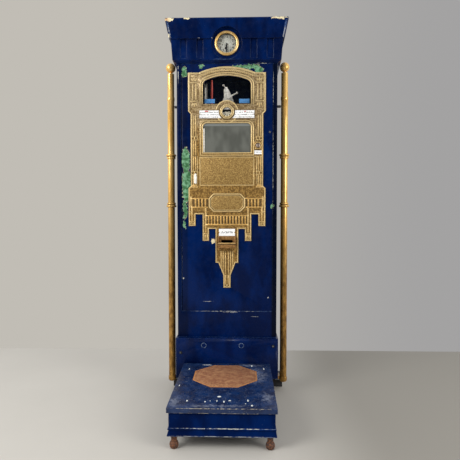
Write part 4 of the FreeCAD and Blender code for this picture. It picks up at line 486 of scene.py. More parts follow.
def brass_tone(light, dark, darkening, size_mm=26):
    """A builder for aged brass: two tones in slow clouds, with grime where faces stand close together."""
    def colour(material):
        cloud = node(material, "MapRange", (grain(material, size_mm, 4.0, (1, 1, 1.8)), 0.32, 0.68))
        speck = blots(material, 2.2, 4.0, 0.6, 0.7, 0.0, 0.45)
        metal = node(material, "MixRGB", (speck, node(material, "MixRGB", (cloud, light, dark)), darkening))
        hollow = node(material, "AmbientOcclusion", {"Distance": GRIME_REACH * MM}, samples=8).outputs["AO"]
        return node(material, "MixRGB", (node(material, "MapRange", (hollow, 0.95, 0.45)), metal, darkening))
    return colour


# Spun brass, polished and lacquered: warm gold, bright on the turn of the rim
spun_brass = finish("spun_brass_lacquered", {"Metallic": 0.7}, brass_tone("#f0cf90", "#d8ac62", "#a5803c"),
                    uneven(9, 0.3, 0.42))
bezel_radii = [49, 49.5, 51, 55, 59.5, 61.8, 62, 62, 60, 52, 49, 49]
bezel_depths = [4, 2.4, 1.0, 0.0, 1.4, 5.0, 9, 14, 14, 14, 14, 4]
scale = BEZEL_RADIUS / 62
bezel = turned(np.array(bezel_radii) * scale, bezel_depths, 0, bezel_low[1], CLOCK_Z, steps=72)
settle(shell("bezel_rim", [bezel], along=True, lids=(False, False)), "machine", spun_brass,
       ("clock_bezel",))


def dial_colour(material):
    """Off-white enamel in two soft tones, with brown foxing."""
    foxing = blots(material, 7, 5.0, 0.56, 0.72, 0.0, 0.55)
    face = two_tones(24, 3.0, 0.35, 0.65, "#d2d4ca", "#bcbeb4")(material)
    return node(material, "MixRGB", (foxing, face, "#7d7867"))


# Vitreous enamel on copper: cool white glaze with crazing and stains
dial_enamel = finish("vitreous_enamel_dial", {"IOR": 1.5, "Roughness": 0.3}, dial_colour, None,
                     pitted(3), 0.05)
dress(dial_enamel, "clock_dial")

# Screen-fired black enamel: matt black figures
black_figures = finish("black_fired_figures", {"IOR": 1.45},
                       two_tones(3, 3.0, 0.4, 0.7, "#15161a", "#34343a"), uneven(5, 0.45, 0.65))


def slabs(quads, front, back):
    """Thin flat pieces: four-cornered outlines (n, 4, 2) seen from the front, between two depths."""
    quads = np.asarray(quads, float)
    sheets = []
    for depth in (front, back):
        sheets.append(np.stack([quads[..., 0], np.full(quads.shape[:2], depth), quads[..., 1]], axis=-1))
    return [np.stack(pair) for pair in zip(*sheets)]


def spoke_marks(count, inner, outer, half, x, z, skip=0):
    """Radial marks: thin quads between two radii at equal turns, leaving out every skip-th one."""
    number = np.arange(count)
    if skip:
        number = number[number % skip != 0]
    turn = number * 2 * np.pi / count
    radial = np.stack([np.sin(turn), np.cos(turn)], axis=-1)
    side = np.stack([radial[:, 1], -radial[:, 0]], axis=-1)
    corners = [radial * reach + side * way for reach, way in
               ((inner, -half), (inner, half), (outer, half), (outer, -half))]
    return np.stack(corners, axis=1) + np.array([x, z])


def ring_marks(radius, half, x, z, front, back, steps=72):
    """A thin flat ring round a centre."""
    return turned([radius - half, radius + half, radius + half, radius - half],
                  [front, front, back, back], x, 0, z, steps=steps)


def figures(words, radius, height, x, z, front, turn_step, turned_in=False, bold=0.0):
    """Meshes of plain numerals set round a circle, upright or with their feet towards the centre."""
    made = []
    for number, word in enumerate(words):
        curve = bpy.data.curves.new("figure", "FONT")
        curve.body = word
        curve.size = height * MM
        curve.align_x = "CENTER"
        curve.align_y = "CENTER"
        curve.extrude = 0.15 * MM
        curve.offset = bold * MM
        holder = bpy.data.objects.new("figure", curve)
        bpy.context.scene.collection.objects.link(holder)
        bpy.context.view_layer.update()
        mesh = bpy.data.meshes.new_from_object(holder.evaluated_get(bpy.context.evaluated_depsgraph_get()))
        bpy.data.objects.remove(holder)
        points = np.empty(len(mesh.vertices) * 3)
        mesh.vertices.foreach_get("co", points)
        points = points.reshape(-1, 3)
        turn = math.radians(number * turn_step)
        tilt = turn if turned_in else 0.0
        flat = points[:, :2] @ np.array([[math.cos(tilt), -math.sin(tilt)], [math.sin(tilt), math.cos(tilt)]])
        flat += np.array([x + radius * math.sin(turn), z + radius * math.cos(turn)]) * MM
        placed = np.stack([flat[:, 0], front * MM - points[:, 2], flat[:, 1]], axis=-1)
        mesh.vertices.foreach_set("co", placed.ravel())
        made.append(mesh)
    return made


def gathered(label, meshes, extra=()):
    """One piece from several meshes and the meshes of extra pieces, which are then taken away."""
    work = bmesh.new()
    for mesh in meshes:
        work.from_mesh(mesh)
    for piece in extra:
        work.from_mesh(piece.data)
        bpy.data.objects.remove(piece)
    mesh = bpy.data.meshes.new(label)
    bmesh.ops.remove_doubles(work, verts=work.verts, dist=0.0000005)
    work.to_mesh(mesh)
    work.free()
    piece = bpy.data.objects.new(label, mesh)
    bpy.context.scene.collection.objects.link(piece)
    return piece


ink_front = DIAL_FRONT - 0.35
minute_track = spoke_marks(60, DIAL_RADIUS - 5.5, DIAL_RADIUS - 2.6, 0.35, 0, CLOCK_Z, skip=5)
hour_track = spoke_marks(12, DIAL_RADIUS - 6, DIAL_RADIUS - 2.6, 0.9, 0, CLOCK_Z)
tracks = shell("tracks", slabs(minute_track, ink_front, DIAL_FRONT + 0.3)
               + slabs(hour_track, ink_front, DIAL_FRONT + 0.3), lids=(True, True))
rings = shell("rings", [ring_marks(DIAL_RADIUS - 2.4, 0.3, 0, CLOCK_Z, ink_front, DIAL_FRONT + 0.3)],
              along=True, lids=(False, False))
holes = shell("holes", [turned([0, 2.6, 2.6], [-0.5, -0.4, 0.3], x, DIAL_FRONT, CLOCK_Z - 2.5, steps=20)
                        for x in (-22, 32)])
hours = figures([str(hour) for hour in [12] + list(range(1, 12))], DIAL_RADIUS - 13, 14.5, 0, CLOCK_Z,
                DIAL_FRONT - 0.1, 30, bold=0.35)
settle(gathered("dial_numerals", hours, (tracks, rings, holes)), "machine", black_figures)
crease(bpy.data.objects["dial_numerals"])

# Steel hands, blued and then painted: flat black with a slight gloss
blued_steel = finish("steel_blued_black", {"Metallic": 0.4},
                     lambda material: node(material, "MixRGB", (grain(material, 6), "#0c0d12", "#1f2026")),
                     uneven(5, 0.3, 0.5))
softened("minute_hand", "long_hand", "minute", blued_steel, 0.3)
softened("hour_hand", "short_hand", "hour", blued_steel, 0.3)
dress(dull_steel, "clock_movement")


def clear_glass(name, tint, alpha):
    """Window glass as a thin see-through sheet: mostly clear, with a gloss and a little dust."""
    material = finish(name, {"Base Color": tint, "Alpha": alpha, "IOR": 1.52, "Specular IOR Level": 0.9},
                      None, uneven(30, 0.03, 0.16, 4.0))
    material.surface_render_method = "BLENDED"
    return material


# Drawn sheet glass: almost nothing but its reflections and dust
sheet_glass = clear_glass("drawn_sheet_glass", "#1c2224", 0.07)
softened("clock_glass", "clock_pane", "machine", sheet_glass, 0.4)
dress(sheet_glass, "window_glass", "port_glass")

# Service door
# One sheet steel leaf with a rolled bead along its hinge side, painted with the casing. It carries the
# brass front, the mirror, the coin slot and the ticket cup, and turns on two steel pins.
softened("service_door", "door_leaf", "door", navy_enamel, 1.2, 3)
softened("door_lock", "lock_spindle", "lock", dull_steel, 0.5)
dress(dull_steel, "door_pivot_pins")

# Brass front plate
# A sand-cast brass plate in one piece, chased by hand and screwed to the door: arched window, round port,
# mirror frame, pilasters, an octagonal frame, galleries of slots, stepped legs, and a stem that tapers to a
# fluted tail.
plate_low, plate_high = limits("brass_front_plate")
BRASS_THICK = 4.0
FACE = FRONT - BRASS_THICK
ARCH_TOP = plate_high[2]
ARCH_RISE = 31.0
ARCH_HALF = 146.0
SHOULDER = ARCH_TOP - ARCH_RISE
UPPER_HALF, MIDDLE_HALF, LOWER_HALF = 201.0, 188.0, 200.0
UPPER_FOOT = SHOULDER - 196
MIDDLE_HEAD = UPPER_FOOT - 14
LOWER_HEAD = MIDDLE_HEAD - 372
OUTER_FOOT = LOWER_HEAD - 208
OUTER_GAP_TOP = OUTER_FOOT + 61
INNER_GAP_TOP = OUTER_GAP_TOP - 76
INNER_FOOT = INNER_GAP_TOP - 63
STEM_FOOT = INNER_GAP_TOP - 178
TAPER_FOOT = STEM_FOOT - 65
TAIL = plate_low[2]
OUTER_LEG, OUTER_GAP, INNER_LEG = 36.0, 37.0, 33.0
STEM_HALF, TAPER_HALF, TAIL_HALF = 59.5, 45.0, 19.0

GOLD_UP_TO, TAN_FROM = 1420, 1640


def chased_colour(upper, lower):
    """Brass, pale tan above and deeper gold below, with fine tool marks and dark grime in its corners."""
    def colour(material):
        height = height_mm(material)
        drift = node(material, "Math",
                     (height, node(material, "Math", (grain(material, 60, 3.0), 260.0),
                                   operation="MULTIPLY")))
        level_marks = grain(material, 5.5, 4.0, (2.2, 1, 1))
        upright_marks = grain(material, 5.5, 4.0, (1, 1, 2.2))
        marks = node(material, "MapRange", (node(material, "Math", (level_marks, upright_marks)), 0.86, 1.12))
        metal = node(material, "MixRGB",
                     (node(material, "MapRange", (drift, GOLD_UP_TO, TAN_FROM)),
                      node(material, "MixRGB", (marks, *lower)), node(material, "MixRGB", (marks, *upper))))
        hollow = node(material, "AmbientOcclusion", {"Distance": GRIME_REACH * MM}, samples=8).outputs["AO"]
        dirty = node(material, "MixRGB", (node(material, "MapRange", (hollow, 0.96, 0.45)), metal, "#3f2c10"))
        rubbed = node(material, "AmbientOcclusion", {"Distance": 2.5 * MM}, samples=8,
                      inside=True).outputs["AO"]
        return node(material, "MixRGB",
                    (node(material, "MapRange", (rubbed, 0.9, 0.5, 0.0, 0.6)), dirty, "#ecd49c"))
    return colour


def chased_brass(name, upper, lower):
    """One of the plate's two surfaces: satin brass with a sand-pitted skin."""
    return finish(name, {"Metallic": 0.55}, chased_colour(upper, lower),
                  uneven(5, 0.34, 0.52, 4.0), pitted(2.2, 4.0), 0.35)


# Sand-cast brass left as cast between the reliefs: tan, sand-pitted, with old polish in its pits
cast_brass = chased_brass("sand_cast_brass_ground", ("#bea67e", "#866d46"), ("#b78f4c", "#77582a"))
# The same brass where it stands proud, chased and polished by hand over decades: brighter gold
ridge_brass = chased_brass("sand_cast_brass_polished", ("#d6bc8e", "#b69864"), ("#e6b96c", "#bd8e44"))
softened("brass_front_plate", "brass_front", "door", cast_brass, 0.9, 2)


def mitred(outline, closed=True):
    """Each corner's outward offset for one millimetre: both edges' normals added, divided by 1 + cosine."""
    ahead = np.roll(outline, -1, axis=0) - outline
    if not closed:
        ahead[-1] = ahead[-2]
    ahead = ahead / np.linalg.norm(ahead, axis=1, keepdims=True)
    behind = np.roll(ahead, 1, axis=0)
    if not closed:
        behind[0] = ahead[0]
    first = np.stack([ahead[:, 1], -ahead[:, 0]], axis=-1)
    second = np.stack([behind[:, 1], -behind[:, 0]], axis=-1)
    return (first + second) / (1 + np.sum(first * second, axis=1, keepdims=True))


def moulding(outline, profile, face, closed=True, inset=0.0):
    """A moulding: a closed profile (across, proud) carried along an outline (x, z), mitred at its corners."""
    outline = np.asarray(outline, float)
    out = mitred(outline, closed)
    profile = np.asarray(profile, float)
    across = profile[:, 0] - inset
    flat = outline[:, None, :] + out[:, None, :] * across[None, :, None]
    deep = np.repeat((face - profile[:, 1])[None, :], len(outline), axis=0)
    return np.stack([flat[..., 0], deep, flat[..., 1]], axis=-1)


def half_round(width, proud):
    """A half-round section: half an ellipse, closed by a root 0.6 mm below the surface."""
    turn = np.linspace(0, np.pi, 7)
    crest = np.stack([-np.cos(turn) * width / 2, np.sin(turn) * proud], axis=-1)
    return np.concatenate([[[-width / 2, -0.6]], crest, [[width / 2, -0.6]]])


def bosses(outlines, face, proud, draft=0.8):
    """Raised forms on the plate: each outline (x, z) rises, then draws in by draft to its flat top."""
    sheets = []
    for outline in outlines:
        outline = np.asarray(outline, float)
        out = mitred(outline)
        area = np.sum(outline[:, 0] * np.roll(outline[:, 1], -1) - outline[:, 1] * np.roll(outline[:, 0], -1))
        inward = -out * np.sign(area)
        steps = ((0.0, -0.6), (0.0, proud * 0.45), (draft * 0.35, proud * 0.85), (draft, proud))
        rings = [np.stack([outline[:, 0] + inward[:, 0] * move, np.full(len(outline), face - rise),
                           outline[:, 1] + inward[:, 1] * move], axis=-1) for move, rise in steps]
        sheets.append(np.stack(rings))
    return sheets


def on_plate(label, sheets, material, **shape):
    """A new piece of the brass front, which swings with the door."""
    return settle(shell(label, sheets, **shape), "door", material)


def bar(x0, x1, z0, z1):
    """A rectangle's corners."""
    return [(x0, z0), (x1, z0), (x1, z1), (x0, z1)]


def both(outlines):
    """The outlines and their mirror images across the plate's middle."""
    return list(outlines) + [[(-x, z) for x, z in reversed(outline)] for outline in outlines]


def oval(x, z, half_x, half_z, tilt=0.0, count=16):
    """Points round an ellipse, turned by tilt."""
    turn = np.linspace(0, 2 * np.pi, count, endpoint=False)
    u, v = half_x * np.cos(turn), half_z * np.sin(turn)
    return np.stack([x + u * np.cos(tilt) - v * np.sin(tilt), z + u * np.sin(tilt) + v * np.cos(tilt)],
                    axis=-1)


def arc_points(cx, cz, radius, start, end, count):
    """Points along an arc, both ends included, angles in degrees from +X towards +Z."""
    turn = np.radians(np.linspace(start, end, count))
    return np.stack([cx + radius * np.cos(turn), cz + radius * np.sin(turn)], axis=-1)


def arch_line(half, foot, spring, top, corner, count=28):
    """An arched opening's side, corner, flat arch, corner and side, from foot to foot, left to right.

    The flat arch's radius makes it meet both corner arcs without a kink.
    """
    span, rise = half - corner, top - spring
    flat = (span ** 2 + rise ** 2 - corner ** 2) / (2 * (rise - corner))
    lean = math.degrees(math.atan2(flat - rise, span))
    right_corner = arc_points(span, spring, corner, 0, lean, 10)
    crest = arc_points(0, top - flat, flat, lean, 180 - lean, count)[1:-1]
    left_corner = arc_points(-span, spring, corner, 180 - lean, 180, 10)
    line = np.concatenate([[(half, foot)], right_corner, crest, left_corner, [(-half, foot)]])
    return line[::-1]


arch_radius = (ARCH_HALF ** 2 + ARCH_RISE ** 2) / (2 * ARCH_RISE)
arch_lean = math.degrees(math.asin(ARCH_HALF / arch_radius))
arch_crest = arc_points(0, ARCH_TOP - arch_radius, arch_radius, 90 + arch_lean, 90 - arch_lean, 40)
leg_in = LOWER_HALF - OUTER_LEG
second_out = leg_in - OUTER_GAP
second_in = second_out - INNER_LEG
right_side = [(UPPER_HALF, SHOULDER), (UPPER_HALF, UPPER_FOOT), (MIDDLE_HALF, MIDDLE_HEAD),
              (MIDDLE_HALF, LOWER_HEAD), (LOWER_HALF, LOWER_HEAD - 11), (LOWER_HALF, OUTER_FOOT),
              (leg_in, OUTER_FOOT), (leg_in, OUTER_GAP_TOP), (second_out, OUTER_GAP_TOP),
              (second_out, INNER_FOOT), (second_in, INNER_FOOT), (second_in, INNER_GAP_TOP),
              (STEM_HALF, INNER_GAP_TOP), (STEM_HALF, STEM_FOOT), (TAPER_HALF, STEM_FOOT),
              (TAIL_HALF, TAPER_FOOT), (TAIL_HALF, TAIL)]
left_side = [(-x, z) for x, z in reversed(right_side)]
edge = np.concatenate([arch_crest, right_side, left_side])
edge_bead = moulding(edge, half_round(4.6, 1.5), FACE, inset=-3.4)

WINDOW_HALF, WINDOW_SILL = 124.0, ARCH_TOP - 192
WINDOW_CROWN, WINDOW_SPRING = ARCH_TOP - 47, ARCH_TOP - 96
MIRROR_FOOT, MIRROR_HEAD = limits("mirror")[0][2], limits("mirror")[1][2]
PORT_Z = WINDOW_SILL - 40
RAISED = FACE - 3
inner_line = arch_line(WINDOW_HALF + 3, WINDOW_SILL + 1, WINDOW_SPRING, WINDOW_CROWN + 3, 33)
outer_line = arch_line(WINDOW_HALF + 14, WINDOW_SILL - 2, WINDOW_SPRING, WINDOW_CROWN + 14, 44)
window_beads = [
    moulding(inner_line, half_round(5, 1.8), RAISED, closed=False),
    moulding(outer_line, half_round(5, 1.6), RAISED, closed=False),
    moulding(arch_crest, half_round(8, 1.8), FACE, closed=False, inset=-6),
    moulding(arc_points(0, PORT_Z, 56, 12, 168, 24), half_round(5, 1.4), RAISED, closed=False),
    moulding(arc_points(0, PORT_Z, 56, 218, 322, 18), half_round(5, 1.4), RAISED, closed=False),
]
MIRROR_ROUND = 20.0


def mirror_line(out, drop):
    """The mirror's outline moved outwards by out, and its foot down by drop: square below, round above."""
    across, head, radius = WINDOW_HALF - MIRROR_ROUND, MIRROR_HEAD - MIRROR_ROUND, MIRROR_ROUND + out
    return np.concatenate([
        [(WINDOW_HALF + out, MIRROR_FOOT - drop)], arc_points(across, head, radius, 0, 90, 11),
        arc_points(-across, head, radius, 90, 180, 11), [(-WINDOW_HALF - out, MIRROR_FOOT - drop)],
    ])


mirror_beads = [moulding(mirror_line(3, 3), half_round(5, 1.8), RAISED),
                moulding(mirror_line(13.5, 14), half_round(4, 1.5), RAISED)]
FIELD_HALF, FIELD_FOOT, FIELD_HEAD = 140.0, LOWER_HEAD + 4, MIRROR_FOOT - 24
field_line = [(FIELD_HALF, FIELD_FOOT), (FIELD_HALF, FIELD_HEAD), (-FIELD_HALF, FIELD_HEAD),
              (-FIELD_HALF, FIELD_FOOT)]
field_bead = moulding(field_line, half_round(3.6, 1.2), FACE)
FRAME_HALF, FRAME_FOOT, FRAME_HEAD, FRAME_CUT = 95.0, LOWER_HEAD - 135, LOWER_HEAD - 39, 24.0


def eight_sided(half, foot, head, corner):
    """An upright octagon with small corners."""
    return [(half, foot + corner), (half, head - corner), (half - corner, head), (-half + corner, head),
            (-half, head - corner), (-half, foot + corner), (-half + corner, foot), (half - corner, foot)]


octagon_beads = [
    moulding(eight_sided(FRAME_HALF - 3.5, FRAME_FOOT + 3.5, FRAME_HEAD - 3.5, FRAME_CUT - 1.5),
             half_round(5, 1.6), RAISED),
    moulding(eight_sided(FRAME_HALF - 11, FRAME_FOOT + 11, FRAME_HEAD - 11, FRAME_CUT - 5),
             half_round(2.4, 1.0), FACE),
]
on_plate("plate_mouldings", [edge_bead, field_bead] + mirror_beads + octagon_beads, ridge_brass, along=True,
         lids=(False, False))
on_plate("window_mouldings", window_beads, ridge_brass, lids=(True, True))

PILASTER_X = 168.0
upper_ribs = [bar(PILASTER_X - 12.5, PILASTER_X - 5, 1548, 1628),
              bar(PILASTER_X + 5, PILASTER_X + 12.5, 1548, 1628)]
upper_caps = [bar(150, 190, 1632, 1637), bar(153, 187, 1664, 1668), bar(150, 190, 1538, 1543),
              bar(156, 180, 1500, 1503)]
upper_leaves = [oval(158, 1650, 4, 9, 0.35), oval(168, 1652, 4, 11), oval(178, 1650, 4, 9, -0.35),
                oval(158, 1524, 4, 9, -0.35), oval(168, 1521, 4, 12), oval(178, 1524, 4, 9, 0.35)]
rib_low = LOWER_HEAD + 8
RIB_BREAK, RIB_HEAD = 1258, 1468
BAND_A, BAND_B = 1350.0, 1172.0
middle_ribs = []
for low, high in ((rib_low, BAND_B - 11), (BAND_B + 11, RIB_BREAK), (BAND_A + 11, RIB_HEAD)):
    middle_ribs += [bar(PILASTER_X - 8.5, PILASTER_X - 3, low, high),
                    bar(PILASTER_X + 3, PILASTER_X + 8.5, low, high)]
outer_ribs = [bar(PILASTER_X - 16.5, PILASTER_X - 14, rib_low, RIB_BREAK),
              bar(PILASTER_X + 13, PILASTER_X + 15, rib_low, RIB_BREAK)]
cross_bands = [bar(PILASTER_X - 17, PILASTER_X + 16, band + foot, band + foot + 4)
               for band in (BAND_A, BAND_B) for foot in (-10, 6)]
band_posts = [bar(PILASTER_X + x - 2, PILASTER_X + x + 2, z - 6, z + 6) for z in (BAND_A, BAND_B)
              for x in (-15, 0, 14)]
bells = [[(PILASTER_X - 10, LOWER_HEAD + 8), (PILASTER_X + 10, LOWER_HEAD + 8),
          (PILASTER_X + 17, LOWER_HEAD - 4), (PILASTER_X + 17, LOWER_HEAD - 9),
          (PILASTER_X - 17, LOWER_HEAD - 9), (PILASTER_X - 17, LOWER_HEAD - 4)][::-1]]
borders = [bar(UPPER_HALF - 11, UPPER_HALF - 1.5, UPPER_FOOT + 3, SHOULDER - 3),
           bar(MIDDLE_HALF - 8, MIDDLE_HALF - 1.5, LOWER_HEAD + 2, MIDDLE_HEAD - 2)]
on_plate("pilasters",
         bosses(both(borders + upper_ribs + upper_caps + upper_leaves + middle_ribs + outer_ribs
                     + cross_bands + band_posts + bells), FACE, 2.2, 1.0), ridge_brass)
left_extra = [bar(-PILASTER_X - 8.5, -PILASTER_X - 3, RIB_BREAK + 4, BAND_A - 11),
              bar(-PILASTER_X + 3, -PILASTER_X + 8.5, RIB_BREAK + 4, BAND_A - 11)]
on_plate("left_pilaster_run", bosses(left_extra, FACE, 2.2, 1.0), ridge_brass)

leaf_count = 27
leaf_turn = np.radians(np.linspace(90 + arch_lean * 0.98, 90 - arch_lean * 0.98, leaf_count))
leaf_radius = arch_radius - 19
leaves = [oval(leaf_radius * math.cos(turn), ARCH_TOP - arch_radius + leaf_radius * math.sin(turn), 8.5, 3.6,
               turn + (0.9 if turn > np.pi / 2 else -0.9 + np.pi), 14) for turn in leaf_turn]
on_plate("arch_leaves", bosses(leaves, FACE, 2.2, 1.4), ridge_brass)

UPPER_GALLERY = (997.0, 1036.0)
LOWER_GALLERY = (907.0, 947.0)
slot_floors = []
gallery_bars = []
upper_slots = 103.5 + 17.2 * np.arange(5)
for x in upper_slots:
    slot_floors.append(bar(x - 4.4, x + 4.4, *UPPER_GALLERY))
for x in upper_slots[:-1] + 8.6:
    gallery_bars.append(bar(x - 4.2, x + 4.2, UPPER_GALLERY[0] - 1, UPPER_GALLERY[1] + 1))
gallery_bars += [bar(96, 187, UPPER_GALLERY[1], UPPER_GALLERY[1] + 6),
                 bar(98, 187, UPPER_GALLERY[0] - 7, UPPER_GALLERY[0])]
lower_slots = 8 + 16 * np.arange(7)
for x in lower_slots:
    slot_floors.append(bar(x - 4.2, x + 4.2, *LOWER_GALLERY))
for x in lower_slots[:-1] + 8:
    gallery_bars.append(bar(x - 3.8, x + 3.8, LOWER_GALLERY[0] - 1, LOWER_GALLERY[1] + 1))
on_plate("galleries",
         bosses(both(gallery_bars)
                + [bar(-3.8, 3.8, LOWER_GALLERY[0] - 1, LOWER_GALLERY[1] + 1),
                   bar(-112, 112, LOWER_GALLERY[1], LOWER_GALLERY[1] + 6),
                   bar(-112, 112, LOWER_GALLERY[0] - 8, LOWER_GALLERY[0])], FACE, 2.6, 0.9), ridge_brass)
legs = [bar(178, 186, OUTER_FOOT + 27, UPPER_GALLERY[0] - 6),
        bar(166, 198, OUTER_FOOT + 20, OUTER_FOOT + 25), bar(171, 175, OUTER_FOOT + 3, OUTER_FOOT + 18),
        bar(179.5, 184.5, OUTER_FOOT + 3, OUTER_FOOT + 18), bar(189, 193, OUTER_FOOT + 3, OUTER_FOOT + 18),
        bar(183, 191, UPPER_GALLERY[0] - 6, UPPER_GALLERY[1] + 14),
        bar(106.5, 114.5, INNER_FOOT + 44, UPPER_GALLERY[0] - 7),
        bar(96, 125, INNER_FOOT + 36, INNER_FOOT + 41), bar(100, 104, INNER_FOOT + 4, INNER_FOOT + 34),
        bar(108.2, 112.8, INNER_FOOT + 4, INNER_FOOT + 34), bar(117, 121, INNER_FOOT + 4, INNER_FOOT + 34)]
stem_flutes = [bar(x - 2.6, x + 2.6, TAPER_FOOT + (max(x - 14, 0)) * 2.3 + 6, STEM_FOOT + 62)
               for x in (8, 19, 30)]
tail_ribs = [bar(4, 10, TAIL + 17, TAPER_FOOT + 2), bar(6, 15, TAIL + 5, TAIL + 9)]
on_plate("legs_and_stem", bosses(both(legs + stem_flutes + tail_ribs), FACE, 2.2, 1.0), ridge_brass)

# Tarnished brass in the sunk slots, never reached by polish: dull dark brown
tarnish = finish("tarnished_brass", {"Metallic": 0.3}, two_tones(5, 4.0, 0.45, 0.75, "#4a3616", "#86662e"),
                 uneven(5, 0.5, 0.7), pitted(2), 0.2)
on_plate("slot_grounds", bosses(both(slot_floors), FACE, 0.3, 0.2), tarnish)

DENT = 3.2


def hammered_height(material):
    """Punched ground: round dents about 3 mm apart."""
    where = node(material, "VectorMath", (place_mm(material), (1 / DENT, 0.0, 1 / DENT)),
                 operation="MULTIPLY")
    return node(material, "TexVoronoi", {"Vector": where, "Scale": 1.0}).outputs["Distance"]


def punched_colour(material):
    """Brass that is darker in the punch marks and lighter on the ridges between them."""
    marks = node(material, "MapRange", (hammered_height(material), 0.15, 0.6))
    metal = two_tones(7, 4.0, 0.35, 0.65, "#c29f5e", "#8f6f3a")(material)
    return node(material, "MixRGB", (marks, "#71562b", metal))


# Brass ground matted with a hollow punch: broken, dull sparkle
punched_brass = finish("brass_punched_ground", {"Metallic": 0.55}, punched_colour,
                       uneven(5, 0.38, 0.55), hammered_height, 0.8)
grounds = [eight_sided(FRAME_HALF - 12.5, FRAME_FOOT + 12.5, FRAME_HEAD - 12.5, FRAME_CUT - 5),
           [(FIELD_HALF - 4, FIELD_FOOT + 4), (FIELD_HALF - 4, FIELD_HEAD - 4),
            (-FIELD_HALF + 4, FIELD_HEAD - 4), (-FIELD_HALF + 4, FIELD_FOOT + 4)]]
on_plate("punched_grounds", bosses(grounds, FACE, 0.5, 0.4), punched_brass)

screw_places = [(side * (UPPER_HALF - 8), SHOULDER - 9) for side in (-1, 1)]
screw_places += [(side * (LOWER_HALF - 8), OUTER_GAP_TOP + 12) for side in (-1, 1)] + [(0, TAIL + 12)]
domes = [turned([0, 2.0, 4.0, 5.0, 5.2], [-2.4, -2.2, -1.5, -0.4, 1.0], x, FACE, z, steps=20)
         for x, z in screw_places]
settle(shell("front_screws", domes), "door", cast_brass, ("plate_screws",))

# Port, mirror and labels
# An eight-sided ring nut of turned brass clamps the port's glass. The silvered mirror sits flush in its
# frame, and four white enamelled plates with notched ends carry printed lines.
softened("port_ring", "port_nut", "door", cast_brass, 1.4, 3)
port_front = limits("port_ring")[0][1]
port_lip = [turned([24.5, 25.5, 28, 29, 24.5], [2, -1.4, -1.4, 1, 2], 0, port_front, PORT_Z),
            turned([32, 33, 35.5, 36.5, 32], [1, -0.8, -0.8, 1, 1], 0, port_front, PORT_Z)]
on_plate("port_lip", port_lip, ridge_brass, along=True, lids=(False, False))


def silver_colour(material):
    """Dull silvering with faint upright bands, spotted brown, and a paler strip along its top: a painted
    highlight on its bevel.
    """
    spots = blots(material, 6, 5.0, 0.64, 0.76, 0.0, 0.4)
    bands = blots(material, 70, 2.0, 0.35, 0.65, stretch=(1, 1, 2))
    height = height_mm(material)
    field = node(material, "MixRGB", (bands, "#8c8e86", "#71736c"))
    # Painted highlight: paler in a strip 12 to 15 mm under the mirror's head
    field = node(material, "MixRGB",
                 (node(material, "MapRange", (height, MIRROR_HEAD - 15, MIRROR_HEAD - 12)), field,
                  "#a3a8a4"))
    return node(material, "MixRGB", (spots, field, "#4a4438"))


# Silvered glass that has gone grey: a soft dark mirror
old_mirror = finish("silvered_glass_aged", {"Metallic": 0.5}, silver_colour,
                    uneven(40, 0.12, 0.22))
dress(old_mirror, "mirror")

label_low = limits("enamel_labels")[0]


def notched(x0, x1, z0, z1, notch):
    """A label's outline: a rectangle with a round bite in the middle of each end."""
    middle = (z0 + z1) / 2
    right = arc_points(x1, middle, notch, -90, -270, 7)
    left = arc_points(x0, middle, notch, 90, -90, 7)
    return np.concatenate([[(x0, z0), (x1, z0)], right, [(x1, z1), (x0, z1)], left])


def one_row(material, height):
    """1 in the middle row of the ticket label, 0 over and under it and near its ends."""
    middle = label_low[2] + 19
    off = node(material, "Math", [node(material, "Math", (height, middle), operation="SUBTRACT")],
               operation="ABSOLUTE")
    across = node(material, "SeparateXYZ", [place_mm(material)]).outputs["X"]
    ends = node(material, "Math", [across], operation="ABSOLUTE")
    return node(material, "Math",
                (node(material, "MapRange", (off, 5.5, 4.5)), node(material, "MapRange", (ends, 33, 31))),
                operation="MULTIPLY")


TICKET_LABEL_TOP = 1000


def printed_colour(material):
    """White enamel with rows of short worn strokes, which spell nothing."""
    height = height_mm(material)
    row = node(material, "Math", (node(material, "Math", (height, 1 / 6.0), operation="MULTIPLY"), 1.0),
               operation="PINGPONG")
    strokes = blots(material, 3.2, 1.0, 0.46, 0.54, stretch=(1, 1, 3))
    rows = node(material, "MixRGB",
                (node(material, "MapRange", (height, TICKET_LABEL_TOP, TICKET_LABEL_TOP + 1)),
                 one_row(material, height), node(material, "MapRange", (row, 0.5, 0.62))))
    inked = node(material, "Math", (node(material, "Math", (rows, strokes), operation="MULTIPLY"), 0.72),
                 operation="MULTIPLY")
    white = two_tones(12, 4.0, 0.5, 0.75, "#ffffff", "#e6e4da")(material)
    return node(material, "MixRGB", (inked, white, "#3c3c40"))


# Vitreous enamel on sheet steel: glossy white, a little chipped
label_enamel = finish("vitreous_enamel_label", {"IOR": 1.5, "Roughness": 0.25}, printed_colour, None,
                      pitted(20), 0.1)
LABEL_Z = PORT_Z - 32
nut_side = arc_points(0, PORT_Z, 42, 11, -49.6, 9)
big_label = [(142, LABEL_Z), (142, LABEL_Z + 16), (138, LABEL_Z + 20), (142, LABEL_Z + 24),
             (142, LABEL_Z + 40)]
right_label = np.concatenate([big_label, nut_side])
SLOT_X, SLOT_Z = 161.0, MIRROR_FOOT + 35
small_labels = [notched(SLOT_X - 20, SLOT_X + 20, SLOT_Z - 45, SLOT_Z - 25, 2.5),
                notched(-42, 42, limits("ticket_cup")[1][2] + 1, limits("ticket_cup")[1][2] + 38, 3.5)]
label_sheets = bosses([right_label, right_label[::-1] * np.array([-1, 1])], FACE, 4.5, 0.5)
label_sheets += bosses(small_labels, FACE, 1.5, 0.5)
crease(settle(shell("enamel_plates", label_sheets), "door", label_enamel, ("enamel_labels",)))

